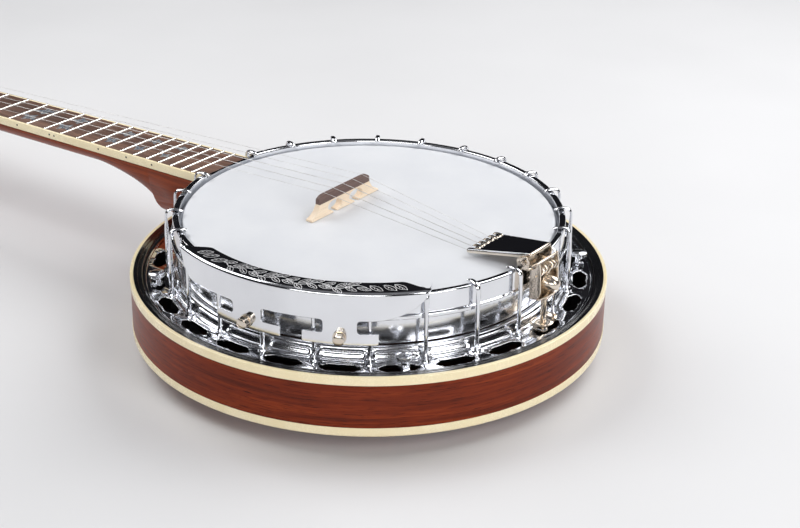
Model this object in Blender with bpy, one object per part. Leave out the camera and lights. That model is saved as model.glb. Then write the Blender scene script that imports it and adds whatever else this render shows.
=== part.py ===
"""A five-string bluegrass banjo lying on its back: pot, resonator, neck, hardware and strings.

Metres, +Z up. The origin is the middle of the resonator's back, on the surface the banjo lies on.
The neck runs along -X, the tailpiece is at +X, and the fifth string and the armrest are at -Y.
"""

import math

import bmesh
import bpy
from mathutils import Matrix, Vector

GAP = 0.0003  # clearance between pieces that touch
RING_STEPS = 60  # sides of each large round piece

# Pot, from the middle outwards: (radius) and from the floor up (height).
HEAD_Z = 0.0970
HEAD_THICKNESS = 0.0010
HEAD_BEND_R = 0.1320
FLESH_HOOP_R = 0.1362
FLESH_HOOP_TOP = 0.0885
FLESH_HOOP_LOW = 0.0838
HOOP_R = 0.1414
HOOP_BORE_R = 0.1366
HOOP_TOP = 0.1000
HOOP_BAND_LOW = 0.0860
LEDGE_R = 0.1432
LEDGE_LOW = 0.0828
RIM_R = 0.1332
RIM_BORE_R = 0.1142
RIM_TOP = 0.0797
RIM_LOW = 0.0300
SKIRT_R = 0.1361
SKIRT_TOP = 0.0822
SKIRT_LOW = 0.0622
FLANGE_TOP = 0.0615
FLANGE_TUBE_R = 0.1405
FLANGE_WALL_R = 0.1434
FLANGE_PLATE_R = 0.1640
FLANGE_PLATE_TOP = 0.0535
FLANGE_PLATE_LOW = 0.0508
CUTOUT_INNER_R = 0.1492
CUTOUT_OUTER_R = 0.1588
CUTOUT_HALF_ANGLE = math.radians(5.3)

# Resonator.
RESONATOR_R = 0.1735
RESONATOR_TOP = 0.0574
RESONATOR_LOW = 0.0140
RESONATOR_BORE_R = 0.1613
RABBET_R = 0.1644
RABBET_Z = 0.0505
BACK_FLAT_R = 0.1120
BACK_THICKNESS = 0.0055

# Hooks: a wide space at the neck, a smaller one at the tailpiece, even steps between.
HOOKS_PER_SIDE = 12
NECK_SPACE = math.radians(23.2)
TAIL_SPACE = math.radians(17.5)
HOOK_STEP = (2 * math.pi - NECK_SPACE - TAIL_SPACE) / (2 * HOOKS_PER_SIDE - 2)
HOOK_R = 0.1462
HOOK_ROD = 0.0018
HOOK_LOW = 0.0400
HOOK_HOLE = 0.0024
HOOK_NUT = 0.0042

THUMBSCREW_R = 0.1550
THUMBSCREW_ANGLES = [math.radians(degrees) for degrees in (40, 140, 230, 316)]
THUMBSCREW_HEAD = 0.0058

# Neck: measured in a frame whose X lies along the fingerboard and whose Z is square to it.
SCALE_LENGTH = 0.6680
NUT_X = -0.6324
FRETS = 22
NECK_PITCH = 0.030
BOARD_ORIGIN = Vector((-0.1500, 0.0, 0.0971))
BOARD_END_X = -0.1392
BOARD_THICKNESS = 0.0065
BOARD_HALF_AT_LAST_FRET = 0.0257
BOARD_TAPER = 0.01335  # half width lost for each metre towards the nut
STEP_DEPTH = 0.0070  # the bass side moves in by this much beyond the fifth fret
STEP_START_X = -0.4720
STEP_END_X = -0.4860
FRET_HEIGHT = 0.0010
FRET_HALF = 0.0010
FRET_INSET = 0.0021  # from the board's edge to the fret's end
NECK_DEPTH = 0.0140
HEEL_START_X = -0.2620
HEEL_END_X = -0.1985
HEEL_LOW = 0.0470
HEADSTOCK_PITCH = math.radians(11)
HEADSTOCK_X = -0.6378
HEADSTOCK_Y = 0.0035
HEADSTOCK_DROP = 0.0030
HEADSTOCK_THICKNESS = 0.0140
PEG_ALONG = (0.0520, 0.1050)
PEG_ACROSS = 0.0235
POST_R = 0.0030
POST_HEIGHT = 0.0130
POST_BORE_R = 0.0034
HOUSING_R = 0.0080
HOUSING_HEIGHT = 0.0190
KNOB_HEIGHT = 0.0170
FIFTH_PEG_X = -0.4800
FIFTH_PEG_Z = -0.0125

KNOB_HALF = (0.0110, 0.0063)

# Strings, bridge and tailpiece.
STRING_R = 0.00035
STRING_SPACING = 0.0110
BRIDGE_X = -0.0230
BRIDGE_Y = -0.0020
BRIDGE_HEIGHT = 0.0165
BRIDGE_FOOT_HALF = 0.0387
BRIDGE_TOP_HALF = 0.0290
BRIDGE_THICKNESS = 0.0060
BRIDGE_TOP_THICKNESS = 0.0028
ARCH_R = 0.0063
ARCH_Y = 0.0165
ARCH_Z = 0.0068
STRING_END_X = 0.1150
TAIL_FRONT = Vector((0.0965, 0.0, 0.1020))
TAIL_REAR = Vector((0.1445, 0.0, 0.1105))
TAIL_FRONT_HALF = 0.0173
TAIL_REAR_HALF = 0.0120
TAIL_BOLT_X = 0.1500
TAIL_STRAP_HALF = 0.0100
BASE_DROP = 0.0032  # from the cover's top face down to the string plate's
COVER_THICKNESS = 0.0010
COVER_SKIRT = 0.0044

# Armrest.
ARMREST_FIRST = math.radians(249.2)
ARMREST_LAST = math.radians(323.0)
ARMREST_TIP = math.radians(6.5)  # the stretch over which each end tapers
ARMREST_R = 0.1505
ARMREST_THICKNESS = 0.0015
ARMREST_TOP = 0.1058
ARMREST_INNER_R = 0.1335
ARMREST_APRON_LOW = 0.0858
ARMREST_LEGS = [math.radians(degrees) for degrees in (275.0, 300.2)]
LEG_HALF = math.radians(4.4)
LEG_TOP = 0.0880
FOOT_HALF = math.radians(9.6)
FOOT_LOW = 0.0685
FOOT_TOP = 0.0762
CLAMP_Z = 0.0745

LOOKS = {
    "chrome": ((0.82, 0.83, 0.85), 0.08, 1.0),
    "nickel": ((0.75, 0.70, 0.62), 0.18, 1.0),
    "head film": ((0.80, 0.81, 0.83), 0.45, 0.0),
    "maple": ((0.80, 0.58, 0.32), 0.40, 0.0),
    "mahogany gloss": ((0.22, 0.055, 0.018), 0.15, 0.0),
    "rosewood": ((0.12, 0.07, 0.05), 0.50, 0.0),
    "bone": ((0.88, 0.84, 0.74), 0.35, 0.0),
    "steel wire": ((0.62, 0.62, 0.62), 0.25, 1.0),
    "pearl button": ((0.85, 0.83, 0.78), 0.20, 0.0),
}


def clear_scene():
    for found in list(bpy.data.objects):
        bpy.data.objects.remove(found, do_unlink=True)


def material(look):
    made = bpy.data.materials.get(look)
    if made:
        return made
    made = bpy.data.materials.new(look)
    made.use_nodes = True
    shader = made.node_tree.nodes["Principled BSDF"]
    colour, roughness, metallic = LOOKS[look]
    shader.inputs["Base Color"].default_value = (*colour, 1.0)
    shader.inputs["Roughness"].default_value = roughness
    shader.inputs["Metallic"].default_value = metallic
    return made


def smooth(mesh):
    mesh.shade_smooth()
    mesh.set_sharp_from_angle(angle=math.radians(32))


def add(name, mesh, look, parent=None):
    """A named object from a mesh, with its material."""
    made = bpy.data.objects.new(name, mesh)
    bpy.context.scene.collection.objects.link(made)
    if not mesh.materials:
        mesh.materials.append(material(look))
        smooth(mesh)
    made.parent = parent
    return made


def empty(name, matrix):
    """A frame that pieces are parented to."""
    made = bpy.data.objects.new(name, None)
    bpy.context.scene.collection.objects.link(made)
    made.matrix_world = matrix
    return made


def loft(sections, closed=False):
    """A closed mesh through sections of equally many points. closed joins the last one to the first."""
    made = bmesh.new()
    rings = [[made.verts.new(point) for point in section] for section in sections]
    count = len(rings[0])
    steps = len(rings) if closed else len(rings) - 1
    for i in range(steps):
        here = rings[i]
        there = rings[(i + 1) % len(rings)]
        for k in range(count):
            after = (k + 1) % count
            made.faces.new((here[k], here[after], there[after], there[k]))
    if not closed:
        made.faces.new(rings[0])
        made.faces.new(rings[-1])
    bmesh.ops.recalc_face_normals(made, faces=made.faces)
    return made


def mesh_of(made, matrix=None):
    """The bmesh as mesh data, moved by a matrix."""
    if matrix:
        bmesh.ops.transform(made, matrix=matrix, verts=made.verts)
    mesh = bpy.data.meshes.new("shape")
    made.to_mesh(mesh)
    made.free()
    return mesh


def combined(mesh, others, operation):
    """The mesh after an exact Boolean with each of the others in turn."""
    base = bpy.data.objects.new("base", mesh)
    bpy.context.scene.collection.objects.link(base)
    helpers = []
    for other in others:
        helper = bpy.data.objects.new("helper", other)
        bpy.context.scene.collection.objects.link(helper)
        helpers.append(helper)
        boolean = base.modifiers.new("Boolean", "BOOLEAN")
        boolean.operation = operation
        boolean.solver = "EXACT"
        boolean.object = helper
    bpy.context.view_layer.update()
    graph = bpy.context.evaluated_depsgraph_get()
    made = bpy.data.meshes.new_from_object(base.evaluated_get(graph))
    for helper in [base, *helpers]:
        bpy.data.objects.remove(helper, do_unlink=True)
    return made


def turned(profile, steps, first=0.0, last=2 * math.pi):
    """A ring, or a stretch of one: the closed (radius, height) profile swept about Z."""
    whole = last - first > 2 * math.pi - 1e-6
    count = steps if whole else steps + 1
    angles = [first + (last - first) * i / steps for i in range(count)]
    sections = [
        [(r * math.cos(a), r * math.sin(a), z) for r, z in profile] for a in angles
    ]
    return loft(sections, closed=whole)


def disc(outline, steps):
    """A solid of revolution: the (radius, height) outline starts and ends on the axis, top to bottom."""
    made = bmesh.new()
    rings = []
    for r, z in outline:
        if r == 0:
            rings.append([made.verts.new((0, 0, z))])
            continue
        angles = [2 * math.pi * i / steps for i in range(steps)]
        rings.append([made.verts.new((r * math.cos(a), r * math.sin(a), z)) for a in angles])
    for upper, lower in zip(rings, rings[1:]):
        for i in range(steps):
            j = (i + 1) % steps
            if len(upper) == 1:
                made.faces.new((upper[0], lower[i], lower[j]))
            elif len(lower) == 1:
                made.faces.new((upper[i], upper[j], lower[0]))
            else:
                made.faces.new((upper[i], upper[j], lower[j], lower[i]))
    bmesh.ops.recalc_face_normals(made, faces=made.faces)
    return made


def prism(outline, low, high):
    """An (x, y) outline as a solid from low to high."""
    return loft([[(x, y, z) for x, y in outline] for z in (low, high)])


def box(low, high):
    (x0, y0, z0), (x1, y1, z1) = low, high
    return prism([(x0, y0), (x1, y0), (x1, y1), (x0, y1)], z0, z1)


def circle(radius, steps, centre=(0.0, 0.0), turn=0.0):
    angles = [turn + 2 * math.pi * i / steps for i in range(steps)]
    return [(centre[0] + radius * math.cos(a), centre[1] + radius * math.sin(a)) for a in angles]


def rod(route, radius, sides):
    """A round bar along a route of points in the XZ plane."""
    sections = []
    for i, point in enumerate(route):
        back = route[max(i - 1, 0)]
        front = route[min(i + 1, len(route) - 1)]
        run = (Vector(front) - Vector(back)).normalized()
        across = Vector((0, 1, 0))
        up = run.cross(across)
        ring = []
        for k in range(sides):
            a = 2 * math.pi * k / sides
            ring.append(Vector(point) + radius * (math.cos(a) * across + math.sin(a) * up))
        sections.append(ring)
    return loft(sections)


def smoothstep(value):
    value = min(max(value, 0.0), 1.0)
    return value * value * (3 - 2 * value)


def hook_angles():
    """From the neck round each side to the tailpiece: +Y first, then -Y."""
    first = NECK_SPACE / 2
    around = [first + HOOK_STEP * i for i in range(HOOKS_PER_SIDE)]
    return [math.pi - a for a in around] + [math.pi + a for a in around]


def make_rim():
    profile = [(RIM_BORE_R, RIM_LOW), (RIM_R, RIM_LOW), (RIM_R, RIM_TOP), (RIM_BORE_R, RIM_TOP)]
    add("rim", mesh_of(turned(profile, RING_STEPS)), "maple")


def make_tone_ring():
    crown = HEAD_Z - HEAD_THICKNESS - GAP
    inner = FLESH_HOOP_R - 0.0026 - GAP
    profile = [
        (RIM_R + GAP, SKIRT_LOW),
        (SKIRT_R, SKIRT_LOW),
        (SKIRT_R, SKIRT_TOP),
        (inner - 0.0003, SKIRT_TOP + 0.0012),
        (inner - 0.0003, crown - 0.0025),
        (HEAD_BEND_R - 0.0008, crown),
        (HEAD_BEND_R - 0.0040, crown - 0.0012),
        (RIM_BORE_R + 0.0110, RIM_TOP + 0.0050),
        (RIM_BORE_R + 0.0110, RIM_TOP + GAP),
        (RIM_R + GAP, RIM_TOP + GAP),
    ]
    add("tone_ring", mesh_of(turned(profile, RING_STEPS)), "chrome")


def make_head():
    under = HEAD_Z - HEAD_THICKNESS
    wall = FLESH_HOOP_R - 0.0026
    outline = [
        (0, HEAD_Z),
        (HEAD_BEND_R, HEAD_Z),
        (HEAD_BEND_R + 0.0018, HEAD_Z - 0.0007),
        (wall + 0.0009, HEAD_Z - 0.0025),
        (wall + 0.0009, FLESH_HOOP_TOP),
        (FLESH_HOOP_R, FLESH_HOOP_TOP),
        (FLESH_HOOP_R, FLESH_HOOP_LOW),
        (wall, FLESH_HOOP_LOW),
        (wall, under - 0.0020),
        (HEAD_BEND_R - 0.0004, under),
        (0, under),
    ]
    add("drum_head", mesh_of(disc(outline, RING_STEPS)), "head film")


def make_hoop():
    """The stretcher ring, with its notch for the end of the fingerboard."""
    lip = HOOP_BORE_R - 0.0016
    profile = [
        (HOOP_R, HOOP_TOP),
        (HOOP_R, HOOP_BAND_LOW),
        (LEDGE_R, HOOP_BAND_LOW - 0.0004),
        (LEDGE_R, LEDGE_LOW),
        (HOOP_BORE_R, LEDGE_LOW),
        (HOOP_BORE_R, FLESH_HOOP_TOP + GAP),
        (lip, FLESH_HOOP_TOP + GAP),
        (lip, FLESH_HOOP_TOP + 0.0030),
        (HOOP_BORE_R, FLESH_HOOP_TOP + 0.0040),
        (HOOP_BORE_R, HOOP_TOP),
    ]
    ring = mesh_of(turned(profile, RING_STEPS))
    half = BOARD_HALF_AT_LAST_FRET + 0.0012
    low = BOARD_ORIGIN.z - BOARD_THICKNESS - 0.0008
    notch = mesh_of(box((-0.16, -half, low), (BOARD_END_X + 0.0008, half, HOOP_TOP + 0.01)))
    trim = mesh_of(box((-0.16, -half, BOARD_ORIGIN.z + 0.0008), (-0.12, half, HOOP_TOP + 0.01)))
    add("tension_hoop", combined(ring, [notch, trim], "DIFFERENCE"), "chrome")


def cutout_outline(middle):
    """One flange opening: a long hexagon whose ends come to blunt points."""
    outline = []
    inner, outer = CUTOUT_INNER_R, CUTOUT_OUTER_R
    centre = (inner + outer) / 2
    corners = ((-1, centre), (-0.72, inner), (0.72, inner), (1, centre), (0.72, outer), (-0.72, outer))
    for share, r in corners:
        a = middle + share * CUTOUT_HALF_ANGLE
        outline.append((r * math.cos(a), r * math.sin(a)))
    return outline


def make_flange():
    inner = RIM_R + GAP
    profile = [
        (inner, FLANGE_TOP - 0.0010),
        (inner + 0.0020, FLANGE_TOP),
        (FLANGE_TUBE_R - 0.0015, FLANGE_TOP),
        (FLANGE_TUBE_R, FLANGE_TOP - 0.0018),
        (FLANGE_WALL_R, FLANGE_PLATE_TOP),
        (FLANGE_PLATE_R, FLANGE_PLATE_TOP),
        (FLANGE_PLATE_R, FLANGE_PLATE_LOW),
        (inner, FLANGE_PLATE_LOW),
    ]
    plate = mesh_of(turned(profile, RING_STEPS))
    low, high = FLANGE_PLATE_LOW - 0.005, FLANGE_PLATE_TOP + 0.002
    angles = sorted(hook_angles())
    cutters = bmesh.new()
    outlines = []
    for a, b in zip(angles, angles[1:]):
        if b - a < NECK_SPACE * 0.9:
            outlines.append(cutout_outline((a + b) / 2))
    for a in angles:
        outlines.append(circle(HOOK_HOLE, 6, (HOOK_R * math.cos(a), HOOK_R * math.sin(a)), a))
    outlines.append(circle(HOOK_HOLE, 6, (TAIL_BOLT_X, 0)))
    for outline in outlines:
        piece = mesh_of(prism(outline, low, high))
        cutters.from_mesh(piece)
        bpy.data.meshes.remove(piece)
    add("flange", combined(plate, [mesh_of(cutters)], "DIFFERENCE"), "chrome")


def make_hooks():
    """Twenty-four hooks that pull the hoop down to the flange, each with its nut below."""
    over = HOOP_TOP + GAP + HOOK_ROD
    route = [
        (HOOP_BORE_R - HOOK_ROD - 0.0009, 0, HEAD_Z + 0.0020),
        (HOOP_BORE_R - 0.0020, 0, over - 0.0009),
        (HOOP_BORE_R, 0, over + 0.0001),
        (HOOP_R, 0, over),
        (HOOK_R - 0.0016, 0, over - 0.0009),
        (HOOK_R, 0, over - 0.0036),
        (HOOK_R, 0, HOOK_LOW),
    ]
    nut = prism(circle(HOOK_NUT, 6, (HOOK_R, 0)), HOOK_LOW + 0.0010, FLANGE_PLATE_LOW - GAP)
    shape = combined(mesh_of(rod(route, HOOK_ROD, 6)), [mesh_of(nut)], "UNION")
    for i, angle in enumerate(hook_angles()):
        made = add(f"hook_{i + 1:02d}", shape, "chrome")
        made.rotation_euler.z = angle


def make_resonator():
    """The wooden bowl behind the pot, with a rabbet that the flange sits in."""
    back = [
        (BACK_FLAT_R, 0.0),
        (BACK_FLAT_R + 0.022, 0.0018),
        (BACK_FLAT_R + 0.040, 0.0058),
        (RESONATOR_R - 0.0040, RESONATOR_LOW - 0.0022),
    ]
    outline = [
        (0, BACK_THICKNESS),
        (BACK_FLAT_R, BACK_THICKNESS),
        (BACK_FLAT_R + 0.022, BACK_THICKNESS + 0.0018),
        (BACK_FLAT_R + 0.040, BACK_THICKNESS + 0.0062),
        (RESONATOR_BORE_R, BACK_THICKNESS + 0.0110),
        (RESONATOR_BORE_R, RABBET_Z),
        (RABBET_R, RABBET_Z),
        (RABBET_R, RESONATOR_TOP - 0.0006),
        (RABBET_R + 0.0006, RESONATOR_TOP),
        (RESONATOR_R - 0.0008, RESONATOR_TOP),
        (RESONATOR_R, RESONATOR_TOP - 0.0008),
        (RESONATOR_R, RESONATOR_LOW),
        *reversed(back),
        (0, 0),
    ]
    add("resonator", mesh_of(disc(outline, RING_STEPS)), "mahogany gloss")


def make_coordinator_rod():
    length = RIM_BORE_R - 2 * GAP
    bar = prism(circle(0.0042, 10), -length, length)
    turn = Matrix.Translation((0, 0, 0.0440)) @ Matrix.Rotation(math.pi / 2, 4, "Y")
    add("coordinator_rod", mesh_of(bar, turn), "steel wire")


def make_thumbscrews():
    """Screws that hold the resonator: a round head on a stem down into the flange's boss."""
    foot = FLANGE_PLATE_TOP + GAP
    outline = [
        (0, foot + 0.0110),
        (THUMBSCREW_HEAD - 0.0008, foot + 0.0110),
        (THUMBSCREW_HEAD, foot + 0.0102),
        (THUMBSCREW_HEAD, foot + 0.0066),
        (0.0030, foot + 0.0058),
        (0.0030, foot + 0.0025),
        (0.0046, foot + 0.0022),
        (0.0046, foot),
        (0, foot),
    ]
    shape = mesh_of(disc(outline, 12))
    for i, angle in enumerate(THUMBSCREW_ANGLES):
        made = add(f"thumbscrew_{i + 1}", shape, "chrome")
        made.location = (THUMBSCREW_R * math.cos(angle), THUMBSCREW_R * math.sin(angle), 0)


def neck_frame():
    """X along the fingerboard, Z square to it, with Z = 0 at its top and X as in the world."""
    turn = Matrix.Rotation(-NECK_PITCH, 4, "Y")
    anchor = Vector((BOARD_ORIGIN.x, 0, 0))
    return Matrix.Translation(BOARD_ORIGIN) @ turn @ Matrix.Translation(-anchor)


def headstock_frame():
    place = Matrix.Translation((HEADSTOCK_X, HEADSTOCK_Y, -HEADSTOCK_DROP))
    return neck_frame() @ place @ Matrix.Rotation(-HEADSTOCK_PITCH, 4, "Y")


def fret_x(number):
    return NUT_X + SCALE_LENGTH * (1 - 2 ** (-number / 12))


def board_edges(x):
    """The fingerboard's bass and treble edges at x: the bass side steps in beyond the fifth fret."""
    half = BOARD_HALF_AT_LAST_FRET + (x - fret_x(FRETS)) * BOARD_TAPER
    step = STEP_DEPTH * smoothstep((STEP_START_X - x) / (STEP_START_X - STEP_END_X))
    return -half + step, half


def board_stations():
    step = [STEP_START_X + (STEP_END_X - STEP_START_X) * i / 4 for i in range(5)]
    return [NUT_X, *reversed(step), BOARD_END_X]


def make_fingerboard():
    """The board with its frets, which stand proud of its face."""
    stations = board_stations()
    outline = [(x, board_edges(x)[0]) for x in stations]
    outline += [(x, board_edges(x)[1]) for x in (BOARD_END_X, NUT_X)]
    board = mesh_of(prism(outline, -BOARD_THICKNESS, 0.0))
    frets = bmesh.new()
    section = [
        (-FRET_HALF, -0.0010),
        (FRET_HALF, -0.0010),
        (FRET_HALF * 0.6, FRET_HEIGHT),
        (-FRET_HALF * 0.6, FRET_HEIGHT),
    ]
    for number in range(1, FRETS + 1):
        x = fret_x(number)
        bass, treble = board_edges(x)
        ends = (bass + FRET_INSET, treble - FRET_INSET)
        wire = mesh_of(loft([[(x + along, y, z) for along, z in section] for y in ends]))
        frets.from_mesh(wire)
        bpy.data.meshes.remove(wire)
    joined = combined(board, [mesh_of(frets)], "UNION")
    joined.transform(neck_frame())
    add("fingerboard", joined, "rosewood")


def heel_run(x):
    """0 where the heel begins to turn down, 1 where it is full depth."""
    return min(max((x - HEEL_START_X) / (HEEL_END_X - HEEL_START_X), 0.0), 1.0)


def heel_depth(x):
    """How far the neck reaches below the board: it curves down into the heel near the pot."""
    floor = BOARD_ORIGIN.z - HEEL_LOW + NECK_PITCH * (x - BOARD_ORIGIN.x) - BOARD_THICKNESS
    return NECK_DEPTH + (floor - NECK_DEPTH) * (1 - math.sqrt(1 - heel_run(x) ** 1.3))


def neck_section(x):
    """A rounded cut through the neck below the board, blunter at the heel's foot."""
    bass, treble = board_edges(x)
    middle = (bass + treble) / 2
    half = (treble - bass) / 2
    top = -BOARD_THICKNESS - GAP
    depth = heel_depth(x)
    foot = 0.2 + 0.15 * heel_run(x)
    shares = ((1, 0), (0.985, 0.18), (0.86, 0.45), (0.56, 0.79), (foot, 1.0))
    right = [(x, middle + half * y, top - depth * z) for y, z in shares]
    left = [(x, middle - half * y, top - depth * z) for y, z in reversed(shares)]
    return right + left


def pot_clearance():
    """The space that the pot takes up, which the heel is cut to."""
    clear = 2 * GAP
    outline = [
        (0, 0.14),
        (HOOP_R + clear, 0.14),
        (HOOP_R + clear, HOOP_BAND_LOW + clear),
        (LEDGE_R + clear, HOOP_BAND_LOW + clear),
        (LEDGE_R + clear, LEDGE_LOW - clear),
        (SKIRT_R + GAP, LEDGE_LOW - clear),
        (SKIRT_R + GAP, FLANGE_TOP + clear),
        (FLANGE_WALL_R + clear, FLANGE_TOP + clear),
        (FLANGE_WALL_R + clear, 0.03),
        (0, 0.03),
    ]
    return mesh_of(disc(outline, 96))


def headstock_outline():
    """One side from the nut to the tip, then back along the other: waisted, with a notched crown."""
    half = [
        (0.004, 0.0165),
        (-0.016, 0.0240),
        (-0.030, 0.0345),
        (-0.062, 0.0330),
        (-0.098, 0.0365),
        (-0.128, 0.0385),
        (-0.146, 0.0330),
        (-0.156, 0.0200),
        (-0.151, 0.0070),
    ]
    return half + [(-0.153, 0.0)] + [(x, -y) for x, y in reversed(half)]


def peg_places():
    """Strings 1 and 2 run to the treble side, 3 and 4 to the bass side; string 1's peg is nearest the nut."""
    near, far = PEG_ALONG
    return [(-near, PEG_ACROSS), (-far, PEG_ACROSS), (-far, -PEG_ACROSS), (-near, -PEG_ACROSS)]


def fifth_peg_frame():
    """Z points out of the bass side of the neck along the fifth peg."""
    bass, _ = board_edges(FIFTH_PEG_X)
    place = Matrix.Translation((FIFTH_PEG_X, bass, FIFTH_PEG_Z))
    return neck_frame() @ place @ Matrix.Rotation(math.pi / 2, 4, "X")


def make_neck():
    reach = HEEL_END_X - HEEL_START_X
    heel = [HEEL_START_X + reach * math.sin(math.pi / 2 * i / 8) for i in range(9)]
    stations = [NUT_X - 0.0050, *board_stations()[1:-1], -0.3500, *heel, -0.1300]
    shaft = mesh_of(loft([neck_section(x) for x in stations]), neck_frame())
    head = mesh_of(prism(headstock_outline(), -HEADSTOCK_THICKNESS, 0.0), headstock_frame())
    solid = combined(shaft, [head], "UNION")
    bores = [
        mesh_of(prism(circle(POST_BORE_R, 10, place), -0.03, 0.01), headstock_frame())
        for place in peg_places()
    ]
    bores.append(mesh_of(prism(circle(POST_BORE_R, 10), -0.0095, 0.02), fifth_peg_frame()))
    bowl = mesh_of(prism(circle(RESONATOR_R + 2 * GAP, 96), 0.0, RESONATOR_TOP + 2 * GAP))
    slot_low = (NUT_X - 0.0050 - GAP, -0.03, -BOARD_THICKNESS - GAP)
    nut_slot = mesh_of(box(slot_low, (NUT_X + 0.001, 0.04, 0.01)), neck_frame())
    solid = combined(solid, [pot_clearance(), bowl, nut_slot, *bores], "DIFFERENCE")
    add("neck", solid, "mahogany gloss")


def make_nut():
    bass, treble = board_edges(NUT_X)
    low = (NUT_X - 0.0050, bass + 0.0002, -BOARD_THICKNESS)
    high = (NUT_X - GAP, treble - 0.0002, 0.0022)
    add("nut", mesh_of(box(low, high), neck_frame()), "bone")


def oval_grip(low, high):
    """The flattened part of a tuner's button."""
    outline = [(x * KNOB_HALF[0], y * KNOB_HALF[1]) for x, y in circle(1.0, 14)]
    return mesh_of(prism(outline, low, high))


def knob_mesh(low):
    """A tuner's button: an oval grip on a short neck, hanging below its housing."""
    grip = oval_grip(low, low + KNOB_HEIGHT - 0.0040)
    stem = mesh_of(prism(circle(0.0030, 8), low + KNOB_HEIGHT - 0.0060, low + KNOB_HEIGHT))
    return combined(grip, [stem], "UNION")


def make_tuners():
    """Four coaxial tuners: a post above the headstock, its housing and its button below."""
    post = prism(circle(POST_R, 10), -HEADSTOCK_THICKNESS, POST_HEIGHT)
    housing_top = -HEADSTOCK_THICKNESS - GAP
    housing = disc(
        [
            (0, housing_top),
            (HOUSING_R, housing_top),
            (HOUSING_R, housing_top - 0.0140),
            (HOUSING_R - 0.0030, housing_top - HOUSING_HEIGHT),
            (0, housing_top - HOUSING_HEIGHT),
        ],
        14,
    )
    knob_low = housing_top - HOUSING_HEIGHT - GAP - KNOB_HEIGHT
    shapes = (
        ("tuner_post", mesh_of(post), "nickel"),
        ("tuner_housing", mesh_of(housing), "nickel"),
        ("tuner_knob", knob_mesh(knob_low), "pearl button"),
    )
    for i, (x, y) in enumerate(peg_places()):
        axis = empty(f"tuner_axis_{i + 1}", headstock_frame() @ Matrix.Translation((x, y, 0)))
        for name, shape, look in shapes:
            add(f"{name}_{i + 1}", shape, look, axis)


def make_fifth_peg():
    """The fifth string's peg, in the bass side of the neck at the fifth fret."""
    axis = empty("fifth_peg_axis", fifth_peg_frame())
    outline = [
        (0, 0.0200),
        (0.0046, 0.0200),
        (0.0046, 0.0110),
        (POST_R, 0.0105),
        (POST_R, -0.0090),
        (0, -0.0090),
    ]
    shaft = mesh_of(disc(outline, 10))
    add("fifth_peg", combined(shaft, [oval_grip(0.0190, 0.0330)], "UNION"), "nickel", axis)


def make_bridge():
    """Three feet with two round arches between them, and a narrow top that the strings cross."""
    blade = [
        (-BRIDGE_FOOT_HALF, 0.0),
        (BRIDGE_FOOT_HALF, 0.0),
        (BRIDGE_FOOT_HALF - 0.0010, 0.0028),
        (BRIDGE_TOP_HALF + 0.0030, 0.0060),
        (BRIDGE_TOP_HALF, 0.0105),
        (BRIDGE_TOP_HALF - 0.0008, BRIDGE_HEIGHT - 0.0015),
        (BRIDGE_TOP_HALF - 0.0030, BRIDGE_HEIGHT),
        (-BRIDGE_TOP_HALF + 0.0030, BRIDGE_HEIGHT),
        (-BRIDGE_TOP_HALF + 0.0008, BRIDGE_HEIGHT - 0.0015),
        (-BRIDGE_TOP_HALF, 0.0105),
        (-BRIDGE_TOP_HALF - 0.0030, 0.0060),
        (-BRIDGE_FOOT_HALF + 0.0010, 0.0028),
    ]
    faces = []
    for side in (-0.5, 0.5):
        face = []
        for y, z in blade:
            thickness = BRIDGE_THICKNESS + (BRIDGE_TOP_THICKNESS - BRIDGE_THICKNESS) * z / BRIDGE_HEIGHT
            face.append((side * thickness, y, z))
        faces.append(face)
    solid = mesh_of(loft(faces))
    stand = Matrix.Rotation(math.pi / 2, 4, "Z") @ Matrix.Rotation(math.pi / 2, 4, "X")
    cutters = []
    for side in (-1, 1):
        middle = side * ARCH_Y
        arch = circle(ARCH_R, 12, (middle, ARCH_Z), math.pi / 12)
        cutters.append(mesh_of(prism(arch, -0.01, 0.01), stand))
        mouth = ARCH_R * 2 / 3
        low = (middle - mouth, -0.002, -0.01)
        cutters.append(mesh_of(box(low, (middle + mouth, 0.003, 0.01)), stand))
    shape = combined(solid, cutters, "DIFFERENCE")
    made = add("bridge", shape, "maple")
    made.location = (BRIDGE_X, BRIDGE_Y, HEAD_Z + GAP)


def tail_axis():
    """The line that the tailpiece cover flips up about, near its back end."""
    return Vector((TAIL_REAR.x - 0.0030, 0, TAIL_REAR.z - 0.0060))


def tail_slope():
    return (TAIL_REAR.z - TAIL_FRONT.z) / (TAIL_REAR.x - TAIL_FRONT.x)


def tail_top(x):
    """The height of the cover's top face at x."""
    return TAIL_FRONT.z + (x - TAIL_FRONT.x) * tail_slope()


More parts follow.
